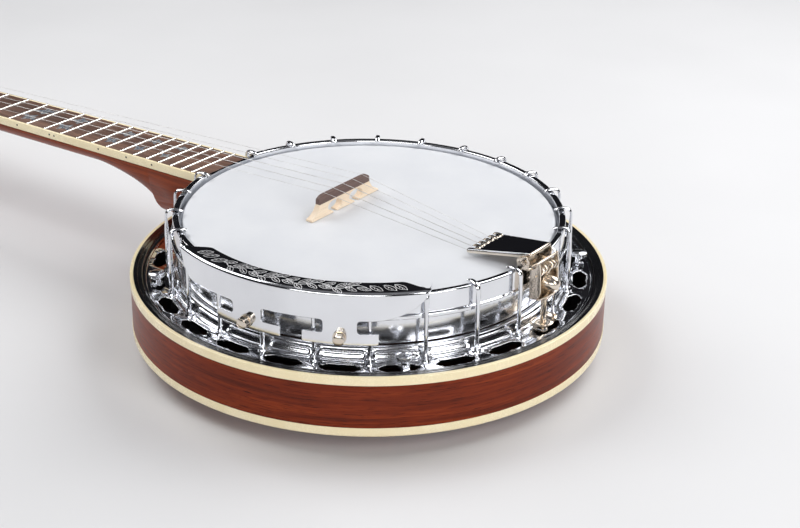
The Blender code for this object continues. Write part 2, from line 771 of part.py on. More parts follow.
def make_tailpiece_bracket():
    """A strap over the hoop and down to the flange, with the plate that the strings hook on."""
    outer = HOOP_R + 0.0036
    strap_low = HOOP_TOP + GAP
    strap_top = strap_low + 0.0012
    base_front = TAIL_FRONT.x + 0.0075
    base_rear = tail_axis().x - 0.0010
    plan = [
        (base_front, tail_top(base_front) - BASE_DROP),
        (base_rear, tail_top(base_rear) - BASE_DROP),
        (base_rear, strap_top),
        (outer + 0.0012, strap_top),
        (outer + 0.0012, 0.0820),
        (outer + 0.0090, 0.0800),
        (outer + 0.0090, 0.0780),
        (outer, 0.0780),
        (outer, strap_low),
        (base_rear - 0.0080, strap_low),
        (base_rear - 0.0080, tail_top(base_rear - 0.0080) - BASE_DROP - 0.0010),
        (base_front, tail_top(base_front) - BASE_DROP - 0.0010),
    ]
    plate = mesh_of(loft([[(x, y, z) for x, z in plan] for y in (-TAIL_STRAP_HALF, TAIL_STRAP_HALF)]))
    bolt = mesh_of(prism(circle(0.0020, 8, (TAIL_BOLT_X, 0)), 0.0455, 0.0785))
    nut = mesh_of(prism(circle(0.0042, 6, (TAIL_BOLT_X, 0)), 0.0440, FLANGE_PLATE_LOW - GAP))
    level = Matrix.Translation((0, 0, 0.0890)) @ Matrix.Rotation(math.pi / 2, 4, "Y")
    inner = outer + 0.0002
    tip = outer + 0.0140
    rounded = [(0, tip), (0.0032, tip - 0.0006), (0.0052, tip - 0.0028), (0.0055, tip - 0.0060)]
    dome = disc([*rounded, (0.0055, inner), (0, inner)], 12)
    solid = combined(plate, [bolt, nut, mesh_of(dome, level)], "UNION")
    add("tailpiece_bracket", solid, "nickel")


def make_tailpiece_cover():
    """The flip-up plate over the string hooks, with its sides folded down."""
    axis = tail_axis()
    sections = []
    for point, half in ((TAIL_FRONT, TAIL_FRONT_HALF), (TAIL_REAR, TAIL_REAR_HALF)):
        inside = half - COVER_THICKNESS
        profile = [
            (half, 0),
            (half, -COVER_SKIRT),
            (inside, -COVER_SKIRT),
            (inside, -COVER_THICKNESS),
            (-inside, -COVER_THICKNESS),
            (-inside, -COVER_SKIRT),
            (-half, -COVER_SKIRT),
            (-half, 0),
        ]
        sections.append([(point.x - axis.x, y, point.z + z - axis.z) for y, z in profile])
    cover = add("tailpiece_cover", mesh_of(loft(sections)), "nickel")
    cover.location = axis


def armrest_sections():
    """Cuts through the top plate and the apron, which both shrink away towards the ends."""
    sections = []
    steps = 30
    roll_r = ARMREST_R - 0.0035
    roll_low = ARMREST_TOP - 0.0045
    inside = ARMREST_R - ARMREST_THICKNESS
    under = ARMREST_TOP - ARMREST_THICKNESS
    for i in range(steps + 1):
        angle = ARMREST_FIRST + (ARMREST_LAST - ARMREST_FIRST) * (1 - math.cos(math.pi * i / steps)) / 2
        end = min((angle - ARMREST_FIRST) / ARMREST_TIP, (ARMREST_LAST - angle) / ARMREST_TIP, 1.0)
        top_r = roll_r + (ARMREST_INNER_R - roll_r) * smoothstep(end)
        low = roll_low + (ARMREST_APRON_LOW - roll_low) * math.sqrt(1 - (1 - end) ** 2)
        profile = [
            (top_r, ARMREST_TOP),
            (roll_r, ARMREST_TOP),
            (ARMREST_R - 0.0010, ARMREST_TOP - 0.0012),
            (ARMREST_R, ARMREST_TOP - 0.0040),
            (ARMREST_R, low),
            (inside, low),
            (inside, ARMREST_TOP - 0.0040),
            (inside - 0.0009, under - 0.0009),
            (roll_r - 0.0005, under),
            (top_r - 0.0005, under),
        ]
        sections.append([(r * math.cos(angle), r * math.sin(angle), z) for r, z in profile])
    return sections


def shell_block(middle, half_angle, low, high):
    """A block of the apron's own thickness and curve."""
    inner = ARMREST_R - ARMREST_THICKNESS
    profile = [(inner, low), (ARMREST_R, low), (ARMREST_R, high), (inner, high)]
    return mesh_of(turned(profile, 6, middle - half_angle, middle + half_angle))


def make_armrest():
    """A plate over the hoop, an apron outside the hooks, and two feet with their clamp bolts."""
    clamp = [
        (0, 0.1585),
        (0.0040, 0.1575),
        (0.0040, 0.1500),
        (0.0022, 0.1490),
        (0.0022, 0.1380),
        (0, 0.1380),
    ]
    extra = []
    for angle in ARMREST_LEGS:
        extra.append(shell_block(angle, LEG_HALF, FOOT_TOP - 0.0020, LEG_TOP))
        extra.append(shell_block(angle, FOOT_HALF, FOOT_LOW, FOOT_TOP))
        place = Matrix.Rotation(angle, 4, "Z") @ Matrix.Translation((0, 0, CLAMP_Z))
        extra.append(mesh_of(disc(clamp, 8), place @ Matrix.Rotation(math.pi / 2, 4, "Y")))
    body = mesh_of(loft(armrest_sections()))
    add("armrest", combined(body, extra, "UNION"), "chrome")


def string_routes():
    """For each string, its points from the tailpiece over the bridge and the nut to its post."""
    top = Vector((BRIDGE_X, BRIDGE_Y, HEAD_Z + GAP + BRIDGE_HEIGHT + GAP + STRING_R))
    frame = neck_frame()
    head = headstock_frame()
    routes = []
    bass, treble = board_edges(NUT_X)
    nut_step = (treble - bass - 0.0070) / 3
    for number in range(1, 6):
        y = (3 - number) * STRING_SPACING
        start = Vector((STRING_END_X, y * 0.40, tail_top(STRING_END_X) - 0.0021))
        lip_x = TAIL_FRONT.x - 0.0008
        lip_z = tail_top(TAIL_FRONT.x) - COVER_THICKNESS - 3 * GAP - STRING_R
        lip = Vector((lip_x, y * 0.62, lip_z))
        crossing = top + Vector((0, y, 0))
        if number < 5:
            nut_y = treble - 0.0035 - nut_step * (number - 1)
            at_nut = Vector((NUT_X - 0.0049, nut_y, 0.0024 + GAP + STRING_R))
            x, across = peg_places()[number - 1]
            side = -1 if across > 0 else 1
            post = head @ Vector((x + 0.0025, across + side * (POST_R + GAP + STRING_R), 0.0060))
            routes.append([start, lip, crossing, frame @ at_nut, post])
            continue
        wide, _ = board_edges(STEP_START_X)
        pip = Vector((fret_x(5) - 0.0012, wide + 0.0042, FRET_HEIGHT + 0.0022))
        bend = Vector((STEP_START_X + 0.0006, wide - 0.0013, 0.0008))
        edge, _ = board_edges(FIFTH_PEG_X)
        past = Vector((FIFTH_PEG_X, edge - 0.0062, FIFTH_PEG_Z + POST_R + 2 * GAP + STRING_R))
        routes.append([start, lip, crossing, frame @ pip, frame @ bend, frame @ past])
    return routes


def make_strings():
    for i, route in enumerate(string_routes()):
        curve = bpy.data.curves.new(f"string_{i + 1}", "CURVE")
        curve.dimensions = "3D"
        curve.bevel_depth = STRING_R
        curve.bevel_resolution = 2
        curve.use_fill_caps = True
        spline = curve.splines.new("POLY")
        spline.points.add(len(route) - 1)
        for point, place in zip(spline.points, route):
            point.co = (*place, 1.0)
        curve.materials.append(material("steel wire"))
        made = bpy.data.objects.new(f"string_{i + 1}", curve)
        bpy.context.scene.collection.objects.link(made)


def main():
    clear_scene()
    make_rim()
    make_tone_ring()
    make_head()
    make_hoop()
    make_flange()
    make_hooks()
    make_resonator()
    make_coordinator_rod()
    make_thumbscrews()
    make_fingerboard()
    make_neck()
    make_nut()
    make_tuners()
    make_fifth_peg()
    make_bridge()
    make_tailpiece_bracket()
    make_tailpiece_cover()
    make_armrest()
    make_strings()


main()
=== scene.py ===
"""Looks of a five-string bluegrass banjo lying on its back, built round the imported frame.

Metres, +Z up. The neck runs along -X, the tailpiece is at +X, the armrest and the fifth string are at -Y.
"""

from math import copysign, cos, exp, hypot, pi, radians, sin, sqrt

import bmesh
import bpy
from mathutils import Matrix, Vector


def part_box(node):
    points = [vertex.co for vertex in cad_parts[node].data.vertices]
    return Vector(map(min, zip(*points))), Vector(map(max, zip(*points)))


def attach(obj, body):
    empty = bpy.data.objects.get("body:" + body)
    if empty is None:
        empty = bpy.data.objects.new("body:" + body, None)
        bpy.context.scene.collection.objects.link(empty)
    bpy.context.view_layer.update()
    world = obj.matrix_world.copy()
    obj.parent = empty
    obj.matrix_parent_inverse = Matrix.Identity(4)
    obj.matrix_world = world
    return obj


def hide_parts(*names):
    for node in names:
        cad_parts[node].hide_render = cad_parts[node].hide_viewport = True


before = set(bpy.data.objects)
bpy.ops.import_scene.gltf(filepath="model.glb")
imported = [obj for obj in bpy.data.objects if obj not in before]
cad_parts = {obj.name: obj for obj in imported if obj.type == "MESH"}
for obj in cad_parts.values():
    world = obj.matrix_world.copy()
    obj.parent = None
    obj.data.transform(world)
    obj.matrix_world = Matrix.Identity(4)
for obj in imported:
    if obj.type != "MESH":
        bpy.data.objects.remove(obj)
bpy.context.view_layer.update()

TAU = 2 * pi
GAP = 0.0003
UP = Vector((0, 0, 1))
FINE = 288  # steps round the widest rings

# The view: a long lens from the armrest's side, a little towards the tailpiece.
CAMERA_AZIMUTH = radians(36.139)
CAMERA_ELEVATION = radians(25.389)
CAMERA_ROLL = radians(1.021)
CAMERA_LENS = 74.28
CAMERA_TARGET = Vector((-0.03765, 0.09001, 0.01112))
CAMERA_DISTANCE = 1.31625

# Pot and resonator, from the frame where a node's box gives them.
HEAD_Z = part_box("drum_head")[1].z
FLESH_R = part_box("drum_head")[1].x
HEAD_BEND_R = 0.1320
HOOP_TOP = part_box("tension_hoop")[1].z
LEDGE_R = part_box("tension_hoop")[1].x
LEDGE_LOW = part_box("tension_hoop")[0].z
HOOP_R = LEDGE_R - 0.0018
HOOP_BORE_R = FLESH_R + 0.0004
BAND_LOW = 0.0860
SKIRT_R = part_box("tone_ring")[1].x
SKIRT_TOP = 0.0822
SKIRT_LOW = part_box("tone_ring")[0].z
RIM_R = 0.1332
FLANGE_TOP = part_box("flange")[1].z
FLANGE_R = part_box("flange")[1].x
PLATE_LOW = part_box("flange")[0].z
PLATE_TOP = PLATE_LOW + 0.0027
TUBE_R = 0.1405
WALL_R = 0.1434
RESONATOR_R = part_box("resonator")[1].x
RESONATOR_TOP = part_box("resonator")[1].z
RESONATOR_LOW = 0.0140
BINDING_WIDTH = 0.0025
BINDING_HEIGHT = 0.0060
LIP_R = 0.1646
BACK_FLAT_R = 0.1120

# Hooks and thumbscrews.
HOOKS_PER_SIDE = 12
NECK_SPACE = radians(23.2)
TAIL_SPACE = radians(17.5)
HOOK_STEP = (TAU - NECK_SPACE - TAIL_SPACE) / (2 * HOOKS_PER_SIDE - 2)
HOOK_R = 0.1462
HOOK_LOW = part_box("hook_01")[0].z
THUMBSCREW_R = 0.1550
THUMBSCREW_ANGLES = [radians(degrees) for degrees in (40, 140, 230, 316)]

# Neck: x runs along the fingerboard, z square to it from its face.
SCALE_LENGTH = 0.6680
NUT_X = -0.6324
FRETS = 22
NECK_PITCH = 0.030
BOARD_ORIGIN = Vector((-0.1500, 0.0, 0.0971))
BOARD_END_X = -0.1392
BOARD_THICKNESS = 0.0065
BOARD_HALF = 0.0257
BOARD_TAPER = 0.01335
STEP_DEPTH = 0.0070
STEP_X = (-0.4720, -0.4860)
BOARD_BINDING = 0.0020
NECK_DEPTH = 0.0140
HEEL_X = (-0.2620, -0.1985)
HEEL_LOW = 0.0470
HEADSTOCK_PITCH = radians(11)
HEADSTOCK_PLACE = (-0.6378, 0.0035, -0.0030)
HEADSTOCK_THICKNESS = 0.0140
OVERLAY = 0.0016
PEG_PLACES = [(-0.0520, 0.0235), (-0.1050, 0.0235), (-0.1050, -0.0235), (-0.0520, -0.0235)]
POST_R = 0.0030
FIFTH_PEG_X = -0.4800
FIFTH_PEG_Z = -0.0125
MARKED_FRETS = (3, 5, 7, 10, 12, 15, 17, 19)

# Strings, bridge, tailpiece and armrest.
STRING_R = 0.00035
STRING_SPACING = 0.0110
BRIDGE = Vector((-0.0230, -0.0020, HEAD_Z + GAP))
BRIDGE_HEIGHT = 0.0165
STRING_END_X = 0.1150
TAIL_FRONT = Vector((0.0965, 0, 0.1020))
TAIL_REAR = Vector((0.1445, 0, 0.1105))
TAIL_FRONT_HALF = 0.0173
TAIL_REAR_HALF = 0.0120
TAIL_BOLT_X = 0.1500
ARMREST_R = 0.1505
ARMREST_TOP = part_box("armrest")[1].z
ARMREST_INNER_R = 0.1335
ARMREST_SPAN = (radians(249.2), radians(323.0))
ARMREST_TIPS = (radians(6.5), radians(15.5))
ARMREST_TIP_LOW = 0.1113
ARMREST_APRON_TOP = 0.1004
ARMREST_APRON_LOW = 0.0858
ARMREST_FEET = [radians(degrees) for degrees in (275.0, 300.2)]


# ---------------------------------------------------------------- shapes


def polar(r, angle, z=0.0):
    return Vector((r * cos(angle), r * sin(angle), z))


def angles(steps):
    """Evenly spaced angles once round."""
    return [TAU * k / steps for k in range(steps)]


def smoothstep(value):
    value = min(max(value, 0.0), 1.0)
    return value * value * (3 - 2 * value)


def lerp(a, b, t):
    return a + (b - a) * t


def rounded(corners, cut, steps=4, closed=True):
    """An outline with its corners rounded off from cut away. A corner's third number is its own cut."""
    made = []
    for i, corner in enumerate(corners):
        here = Vector(corner[:2])
        own = corner[2] if len(corner) > 2 else cut
        if own <= 0 or (not closed and i in (0, len(corners) - 1)):
            made.append(tuple(here))
            continue
        back = Vector(corners[i - 1][:2]) - here
        on = Vector(corners[(i + 1) % len(corners)][:2]) - here
        start = here + back.normalized() * min(own, back.length * 0.49)
        end = here + on.normalized() * min(own, on.length * 0.49)
        for k in range(steps + 1):
            t = k / steps
            made.append(tuple(start * (1 - t) ** 2 + here * 2 * t * (1 - t) + end * t * t))
    return made


def circle(radius, steps=24, centre=(0.0, 0.0)):
    return [(centre[0] + radius * cos(a), centre[1] + radius * sin(a)) for a in angles(steps)]


def curve_through(points, steps=8):
    """Points on a smooth curve through the given ones."""
    points = [Vector(p) for p in points]
    ends = [2 * points[0] - points[1], *points, 2 * points[-1] - points[-2]]
    made = []
    for a, b, c, d in zip(ends, ends[1:], ends[2:], ends[3:]):
        for k in range(steps):
            t = k / steps
            made.append(0.5 * (2 * b + (c - a) * t + (2 * a - 5 * b + 4 * c - d) * t * t +
                               (3 * b - 3 * c + d - a) * t**3))
    return made + [points[-1]]


def skin(rings, along=False, caps=True):
    """A closed mesh through rings of equally many points. along joins the last ring to the first."""
    made = bmesh.new()
    rows = [[made.verts.new(point) for point in ring] for ring in rings]
    count = len(rows[0])
    for here, there in zip(rows, rows[1:] + ([rows[0]] if along else [])):
        for k in range(count):
            made.faces.new((here[k], here[(k + 1) % count], there[(k + 1) % count], there[k]))
    if caps and not along:
        made.faces.new(rows[0])
        made.faces.new(rows[-1])
    bmesh.ops.remove_doubles(made, verts=made.verts, dist=1e-7)
    bmesh.ops.recalc_face_normals(made, faces=made.faces)
    mesh = bpy.data.meshes.new("shape")
    made.to_mesh(mesh)
    made.free()
    return mesh


def placed(name, data):
    """A new object in the scene."""
    made = bpy.data.objects.new(name, data)
    bpy.context.scene.collection.objects.link(made)
    return made


def evaluated(holder):
    """The mesh of an object with its modifiers or its curve's depth applied."""
    bpy.context.view_layer.update()
    return bpy.data.meshes.new_from_object(holder.evaluated_get(bpy.context.evaluated_depsgraph_get()))


def lathe(profile, steps=240, first=0.0, last=TAU):
    """The closed (radius, height) profile swept about Z."""
    whole = last - first > TAU - 1e-6
    turns = [first + (last - first) * i / steps for i in range(steps if whole else steps + 1)]
    return skin([[polar(r, a, z) for r, z in profile] for a in turns], along=whole)


def prism(outline, low, high):
    """An (x, y) outline raised from low to high."""
    return skin([[(x, y, z) for x, y in outline] for z in (low, high)])


def block(low, high):
    (x0, y0, z0), (x1, y1, z1) = low, high
    return prism([(x0, y0), (x1, y0), (x1, y1), (x0, y1)], z0, z1)


def tube(path, radius, sides=12, across=UP, round_ends=True):
    """A bar along a path. radius is one number, or a (across, other) pair for each point."""
    path = [Vector(p) for p in path]
    radii = radius if isinstance(radius, list) else [(radius, radius)] * len(path)
    rings = []
    side = Vector(across)
    for i, point in enumerate(path):
        run = (path[min(i + 1, len(path) - 1)] - path[max(i - 1, 0)]).normalized()
        side = (side - run * side.dot(run)).normalized()
        other = run.cross(side)
        shares = [(1.0, 0.0)]
        if round_ends and i in (0, len(path) - 1):
            shares = [(0.45, 0.9), (0.8, 0.6), (1.0, 0.0)]
            shares = shares if i == 0 else shares[::-1]
        for share, beyond in shares:
            sign = -1 if i == 0 else 1
            centre = point + run * sign * beyond * min(radii[i]) if beyond else point
            rings.append([
                centre + share * (radii[i][0] * cos(a) * side + radii[i][1] * sin(a) * other)
                for a in angles(sides)
            ])
    return skin(rings)


def plate(outlines, low, high, bevel=0.0002):
    """A flat plate with rounded edges: the first (x, y) outline less the others."""
    curve = bpy.data.curves.new("outline", "CURVE")
    curve.dimensions = "2D"
    curve.fill_mode = "BOTH"
    curve.extrude = (high - low) / 2 - bevel
    curve.bevel_depth = bevel
    curve.bevel_resolution = 2
    curve.offset = -bevel
    for number, outline in enumerate(outlines):
        area = sum(a[0] * b[1] - b[0] * a[1] for a, b in zip(outline, outline[1:] + outline[:1]))
        points = outline if (area > 0) == (number > 0) else outline[::-1]
        spline = curve.splines.new("POLY")
        spline.points.add(len(points) - 1)
        for point, place in zip(spline.points, points):
            point.co = (place[0], place[1], 0, 1)
        spline.use_cyclic_u = True
    holder = placed("outline", curve)
    mesh = evaluated(holder)
    bpy.data.objects.remove(holder)
    mesh.transform(shift((0, 0, (low + high) / 2)))
    mesh.materials.clear()
    welded = bmesh.new()
    welded.from_mesh(mesh)
    bmesh.ops.remove_doubles(welded, verts=welded.verts, dist=1e-6)
    bmesh.ops.recalc_face_normals(welded, faces=welded.faces)
    welded.to_mesh(mesh)
    welded.free()
    return mesh


def shift(place):
    return Matrix.Translation(place)


def turned(angle, axis):
    return Matrix.Rotation(angle, 4, axis)


def moved(mesh, matrix):
    mesh.transform(matrix)
    return mesh


def merged(meshes):
    """Several meshes as one, side by side."""
    made = bmesh.new()
    for mesh in meshes:
        made.from_mesh(mesh)
        bpy.data.meshes.remove(mesh)
    mesh = bpy.data.meshes.new("shape")
    made.to_mesh(mesh)
    made.free()
    return mesh


def combined(mesh, others, operation="DIFFERENCE"):
    """A mesh less the others, or what it shares with them."""
    base = placed("base", mesh)
    helpers = [base]
    for other in others:
        helper = placed("helper", other)
        helpers.append(helper)
        boolean = base.modifiers.new("Boolean", "BOOLEAN")
        boolean.operation = operation
        boolean.solver = "EXACT"
        boolean.object = helper
    made = evaluated(base)
    for helper in helpers:
        bpy.data.objects.remove(helper)
    return made


def show(name, mesh, look, body="banjo", replaces=(), sharp=35, bevel=0.0, turn=0.0):
    """A finished piece: shaded, given its material, and riding on its body."""
    made = placed(name, mesh)
    if not mesh.materials:
        mesh.materials.append(look)
    mesh.shade_smooth()
    if bevel:
        cut = made.modifiers.new("Edges", "BEVEL")
        cut.width = bevel
        cut.segments = 2
        cut.limit_method = "ANGLE"
        cut.angle_limit = radians(sharp)
        cut.harden_normals = True
    else:
        mesh.set_sharp_from_angle(angle=radians(sharp))
    made.rotation_euler.z = turn
    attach(made, body)
    if replaces:
        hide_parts(*([replaces] if isinstance(replaces, str) else replaces))
    return made


def axis_turn(place, direction):
    """A frame at place whose Z points along direction."""
    return shift(place) @ Vector(direction).to_track_quat("Z", "Y").to_matrix().to_4x4()


# ---------------------------------------------------------------- materials


class Look:
    """One node material, made in the object's own metres."""

    def __init__(self, name, **values):
        self.material = bpy.data.materials.new(name)
        self.material.use_nodes = True
        self.tree = self.material.node_tree
        self.shader = self.tree.nodes["Principled BSDF"]
        self.place = self.node("TexCoord").outputs["Object"]
        self.fill(self.shader, values)

    def put(self, socket, value):
        """Link a socket to the one given, or set its value."""
        if isinstance(value, bpy.types.NodeSocket):
            self.tree.links.new(value, socket)
        else:
            socket.default_value = value

    def fill(self, made, values):
        for key, value in values.items():
            self.put(made.inputs[key.replace("_", " ")], value)

    def node(self, kind, **values):
        made = self.tree.nodes.new("ShaderNode" + kind)
        self.fill(made, values)
        return made

    def scaled(self, x, y, z, at=None):
        return self.node("Mapping", Vector=at or self.place, Scale=(x, y, z)).outputs[0]

    def noise(self, scale, detail=3.0, at=None, rough=0.5, twist=0.0):
        made = self.node("TexNoise", Vector=at or self.place, Scale=scale, Detail=detail, Roughness=rough,
                         Distortion=twist)
        return made.outputs["Fac"]

    def ramp(self, value, *stops):
        """Colours or plain numbers along a value."""
        made = self.node("ValToRGB", Fac=value)
        ramp = made.color_ramp
        while len(ramp.elements) < len(stops):
            ramp.elements.new(0.5)
        for element, (place, colour) in zip(ramp.elements, stops):
            element.position = place
            element.color = (*colour, 1) if isinstance(colour, tuple) else (colour, colour, colour, 1)
        return made.outputs["Color"]

    def math(self, operation, a, b=0.0):
        made = self.node("Math")
        made.operation = operation
        self.put(made.inputs[0], a)
        self.put(made.inputs[1], b)
        return made.outputs[0]

    def total(self, a, share_a, b, share_b):
        """Two values, each with its own weight."""
        return self.math("ADD", self.math("MULTIPLY", a, share_a), self.math("MULTIPLY", b, share_b))

    def reach(self, x, y):
        """Distance from the Z axis."""
        return self.math("SQRT", self.total(x, x, y, y))

    def mix(self, share, a, b):
        made = self.node("MixRGB", Fac=share)
        for key, value in (("Color1", a), ("Color2", b)):
            self.put(made.inputs[key], (*value, 1) if isinstance(value, tuple) else value)
        return made.outputs["Color"]

    def bump(self, height, distance, strength=1.0, under=None):
        made = self.node("Bump", Height=height, Distance=distance, Strength=strength)
        if under:
            self.put(made.inputs["Normal"], under)
        return made.outputs["Normal"]

    def done(self, **values):
        self.fill(self.shader, values)
        return self.material

    def around(self, radius):
        """Coordinates (arc length, radius, height) round Z."""
        split = self.node("SeparateXYZ", Vector=self.place)
        x, y, z = split.outputs
        angle = self.math("ARCTAN2", y, x)
        reach = self.reach(x, y)
        return self.node("CombineXYZ", X=self.math("MULTIPLY", angle, radius), Y=reach, Z=z).outputs[0]


def metal_look(name, colour, dark, low, high, wave=0.00001):
    """Plated metal: a faint cloudiness in colour, wiped smears in roughness and a slow wave in its face."""
    look = Look(name, Metallic=1.0, IOR=2.5)
    smears = look.noise(55.0, 5.0, at=look.scaled(1, 1, 2.2), rough=0.65, twist=0.6)
    specks = look.noise(1400.0, 2.0)
    tint = look.ramp(look.noise(18.0, 3.0), (0.3, dark), (0.7, colour))
    rough = look.ramp(look.math("ADD", smears, look.math("MULTIPLY", specks, 0.15)), (0.42, low),
                      (0.75, high))
    normal = look.bump(look.noise(26.0, 1.0), wave, 1.0)
    return look.done(Base_Color=tint, Roughness=rough, Normal=look.bump(specks, 0.000002, 0.4, normal))


def wood_look(name, axis, pale, middle, dark, pores=0.5, gloss=True, fine=1.0):
    """Wood with its grain along axis, or round Z where axis is "round"."""
    look = Look(name, Roughness=0.42)
    place = look.around(RESONATOR_R) if axis == "round" else look.place

    def grain(along, across, detail, rough=0.5, twist=0.0):
        scale = (across, along, across) if axis == "y" else (along, across, across)
        return look.noise(1.0, detail, at=look.scaled(*scale, at=place), rough=rough, twist=twist)

    streak = grain(14.0, 420.0 * fine, 6.0, 0.6, 0.4)
    broad = grain(5.0, 60.0 * fine, 3.0, 0.5, 0.8)
    cloud = look.noise(14.0, 2.0)
    pore = grain(90.0, 2600.0 * fine, 2.0)
    tone = look.ramp(look.total(streak, 0.55, broad, 0.45), (0.30, dark), (0.50, middle), (0.72, pale))
    tone = look.mix(look.ramp(cloud, (0.35, 0.0), (0.75, 0.35)), tone, tuple(0.62 * c for c in middle))
    pits = look.ramp(pore, (0.30, 1.0), (0.42, 0.0))
    tone = look.mix(look.math("MULTIPLY", pits, pores), tone, tuple(0.35 * c for c in dark))
    normal = look.bump(look.math("SUBTRACT", streak, look.math("MULTIPLY", pits, 0.6)), 0.00006,
                       0.25 if gloss else 0.8)
    lacquer = {"Coat_Weight": 0.25, "Coat_Roughness": 0.06, "Coat_IOR": 1.35, "Specular_IOR_Level": 0.12}
    rough = look.ramp(streak, (0.3, 0.30 if gloss else 0.42), (0.7, 0.42 if gloss else 0.62))
    return look.done(Base_Color=tone, Roughness=rough, Normal=normal, **(lacquer if gloss else {}))


def plain_look(name, pale, dark, low, high, scale=40.0, grit=900.0, depth=0.000008, **values):
    """Plastic, lacquer, bone and the like: a slow drift of colour and a fine skin."""
    look = Look(name, **values)
    drift = look.noise(scale, 4.0, rough=0.6)
    skin_noise = look.noise(grit, 3.0)
    tint = look.ramp(drift, (0.3, dark), (0.7, pale))
    rough = look.ramp(look.total(drift, 0.5, skin_noise, 0.5), (0.35, low), (0.65, high))
    return look.done(Base_Color=tint, Roughness=rough, Normal=look.bump(skin_noise, depth, 0.5))


def pearl_look(name, pale, blue, warm):
    """Mother-of-pearl: folded bands that turn from grey-blue to warm white."""
    look = Look(name, Coat_Weight=0.6, Coat_Roughness=0.05)
    folds = look.noise(240.0, 3.0, at=look.scaled(1.0, 0.35, 1.0), twist=3.0)
    tint = look.ramp(folds, (0.32, blue), (0.5, pale), (0.66, warm))
    return look.done(Base_Color=tint, Roughness=look.ramp(folds, (0.3, 0.18), (0.7, 0.32)), Metallic=0.15,
                     Normal=look.bump(folds, 0.00005, 0.2))


def head_look():
    """A drum head with a sprayed frosting: fine tooth, faint mottling and a little light in the film."""
    look = Look("head_film", Specular_IOR_Level=0.35, Subsurface_Weight=0.15)
    look.shader.inputs["Subsurface Radius"].default_value = (0.004, 0.004, 0.004)
    look.shader.inputs["Subsurface Scale"].default_value = 1.0
    mottle = look.noise(22.0, 5.0, rough=0.6)
    tooth = look.noise(2600.0, 2.0)
    tint = look.ramp(mottle, (0.3, (0.680, 0.695, 0.730)), (0.7, (0.725, 0.738, 0.765)))
    rough = look.ramp(look.total(mottle, 0.4, tooth, 0.6), (0.35, 0.42), (0.65, 0.58))
    return look.done(Base_Color=tint, Roughness=rough, Normal=look.bump(tooth, 0.00002, 0.35))


CHROME = metal_look("chrome", (0.86, 0.87, 0.90), (0.76, 0.77, 0.80), 0.06, 0.14, 0.000004)
SOFT_CHROME = metal_look("chrome_satin", (0.84, 0.85, 0.88), (0.74, 0.75, 0.78), 0.13, 0.21, 0.000004)
DARK_CHROME = metal_look("chrome_cover", (0.86, 0.87, 0.89), (0.74, 0.75, 0.78), 0.03, 0.08)
NICKEL = metal_look("nickel", (0.86, 0.78, 0.68), (0.66, 0.57, 0.47), 0.12, 0.26, 0.00002)
STEEL = metal_look("steel_wire", (0.72, 0.71, 0.70), (0.50, 0.49, 0.48), 0.28, 0.42)
FRET_WIRE = metal_look("fret_wire", (0.93, 0.91, 0.86), (0.82, 0.80, 0.74), 0.16, 0.30)
ENGRAVING = metal_look("engraved_line", (0.93, 0.93, 0.94), (0.80, 0.80, 0.82), 0.42, 0.62)
MAHOGANY_SIDE = wood_look("mahogany_side", "round", (0.370, 0.058, 0.009), (0.195, 0.024, 0.004),
                          (0.050, 0.006, 0.0015), 0.85)
MAHOGANY = wood_look("mahogany", "x", (0.430, 0.080, 0.012), (0.270, 0.042, 0.006), (0.110, 0.014, 0.003),
                     0.6)
ROSEWOOD = wood_look("rosewood", "x", (0.300, 0.165, 0.110), (0.125, 0.062, 0.042), (0.022, 0.012, 0.010),
                     0.85, gloss=False)
DARK_CAP = wood_look("bridge_cap", "y", (0.240, 0.155, 0.130), (0.150, 0.092, 0.078), (0.070, 0.042, 0.036),
                     0.6, gloss=False, fine=1.4)
MAPLE = wood_look("maple", "y", (0.970, 0.830, 0.670), (0.920, 0.750, 0.560), (0.780, 0.560, 0.370), 0.25,
                  gloss=False)
BINDING = plain_look("binding", (1.00, 0.88, 0.60), (0.97, 0.83, 0.52), 0.20, 0.32, Coat_Weight=0.3,
                     Coat_Roughness=0.05)
BLACK = plain_look("black_lacquer", (0.010, 0.010, 0.011), (0.004, 0.004, 0.005), 0.10, 0.22,
                   Coat_Weight=1.0, Coat_Roughness=0.03)
# Painted shade: the resonator's inside is near black to stand for the shade seen through the flange
# cutouts.
INSIDE_PAINTED_SHADE = plain_look("inside_painted_shade", (0.012, 0.010, 0.009), (0.005, 0.004, 0.004), 0.6, 0.8, grit=400.0,
                    depth=0.00005)
BONE = plain_look("bone", (0.90, 0.87, 0.76), (0.83, 0.78, 0.65), 0.22, 0.36, scale=160.0)
DOT = plain_look("side_dot", (0.02, 0.02, 0.02), (0.01, 0.01, 0.01), 0.3, 0.45)
PEARL = pearl_look("inlay_pearl", (0.28, 0.31, 0.35), (0.10, 0.13, 0.18), (0.50, 0.50, 0.48))
BUTTON = pearl_look("pearl_button", (0.86, 0.84, 0.78), (0.66, 0.68, 0.68), (0.93, 0.88, 0.76))
HEAD = head_look()


# ---------------------------------------------------------------- pot


def hook_angles():
    """From the neck round each side to the tailpiece: +Y first, then -Y."""
    around = [NECK_SPACE / 2 + HOOK_STEP * i for i in range(HOOKS_PER_SIDE)]
    return [pi - a for a in around] + [pi + a for a in around]


def make_head():
    """The frosted film, bent down over the tone ring into its flesh hoop."""
    under = HEAD_Z - 0.0008
    wall = FLESH_R - 0.0017
    upper = rounded([(HEAD_BEND_R - 0.006, HEAD_Z), (HEAD_BEND_R + 0.0022, HEAD_Z), (wall, HEAD_Z - 0.0036),
                     (wall, 0.0885), (FLESH_R, 0.0885)], 0.0022, 5, closed=False)
    lower = [(FLESH_R, 0.0840), (wall - 0.0006, 0.0840), (wall - 0.0006, under - 0.0030),
             (HEAD_BEND_R, under)]
    rings = [0.02 * i for i in range(1, 6)]
    profile = [(0, HEAD_Z), *[(r, HEAD_Z) for r in rings], *upper, *lower, (0, under)]
    show("drum_head_film", lathe(profile, 240), HEAD, replaces="drum_head")


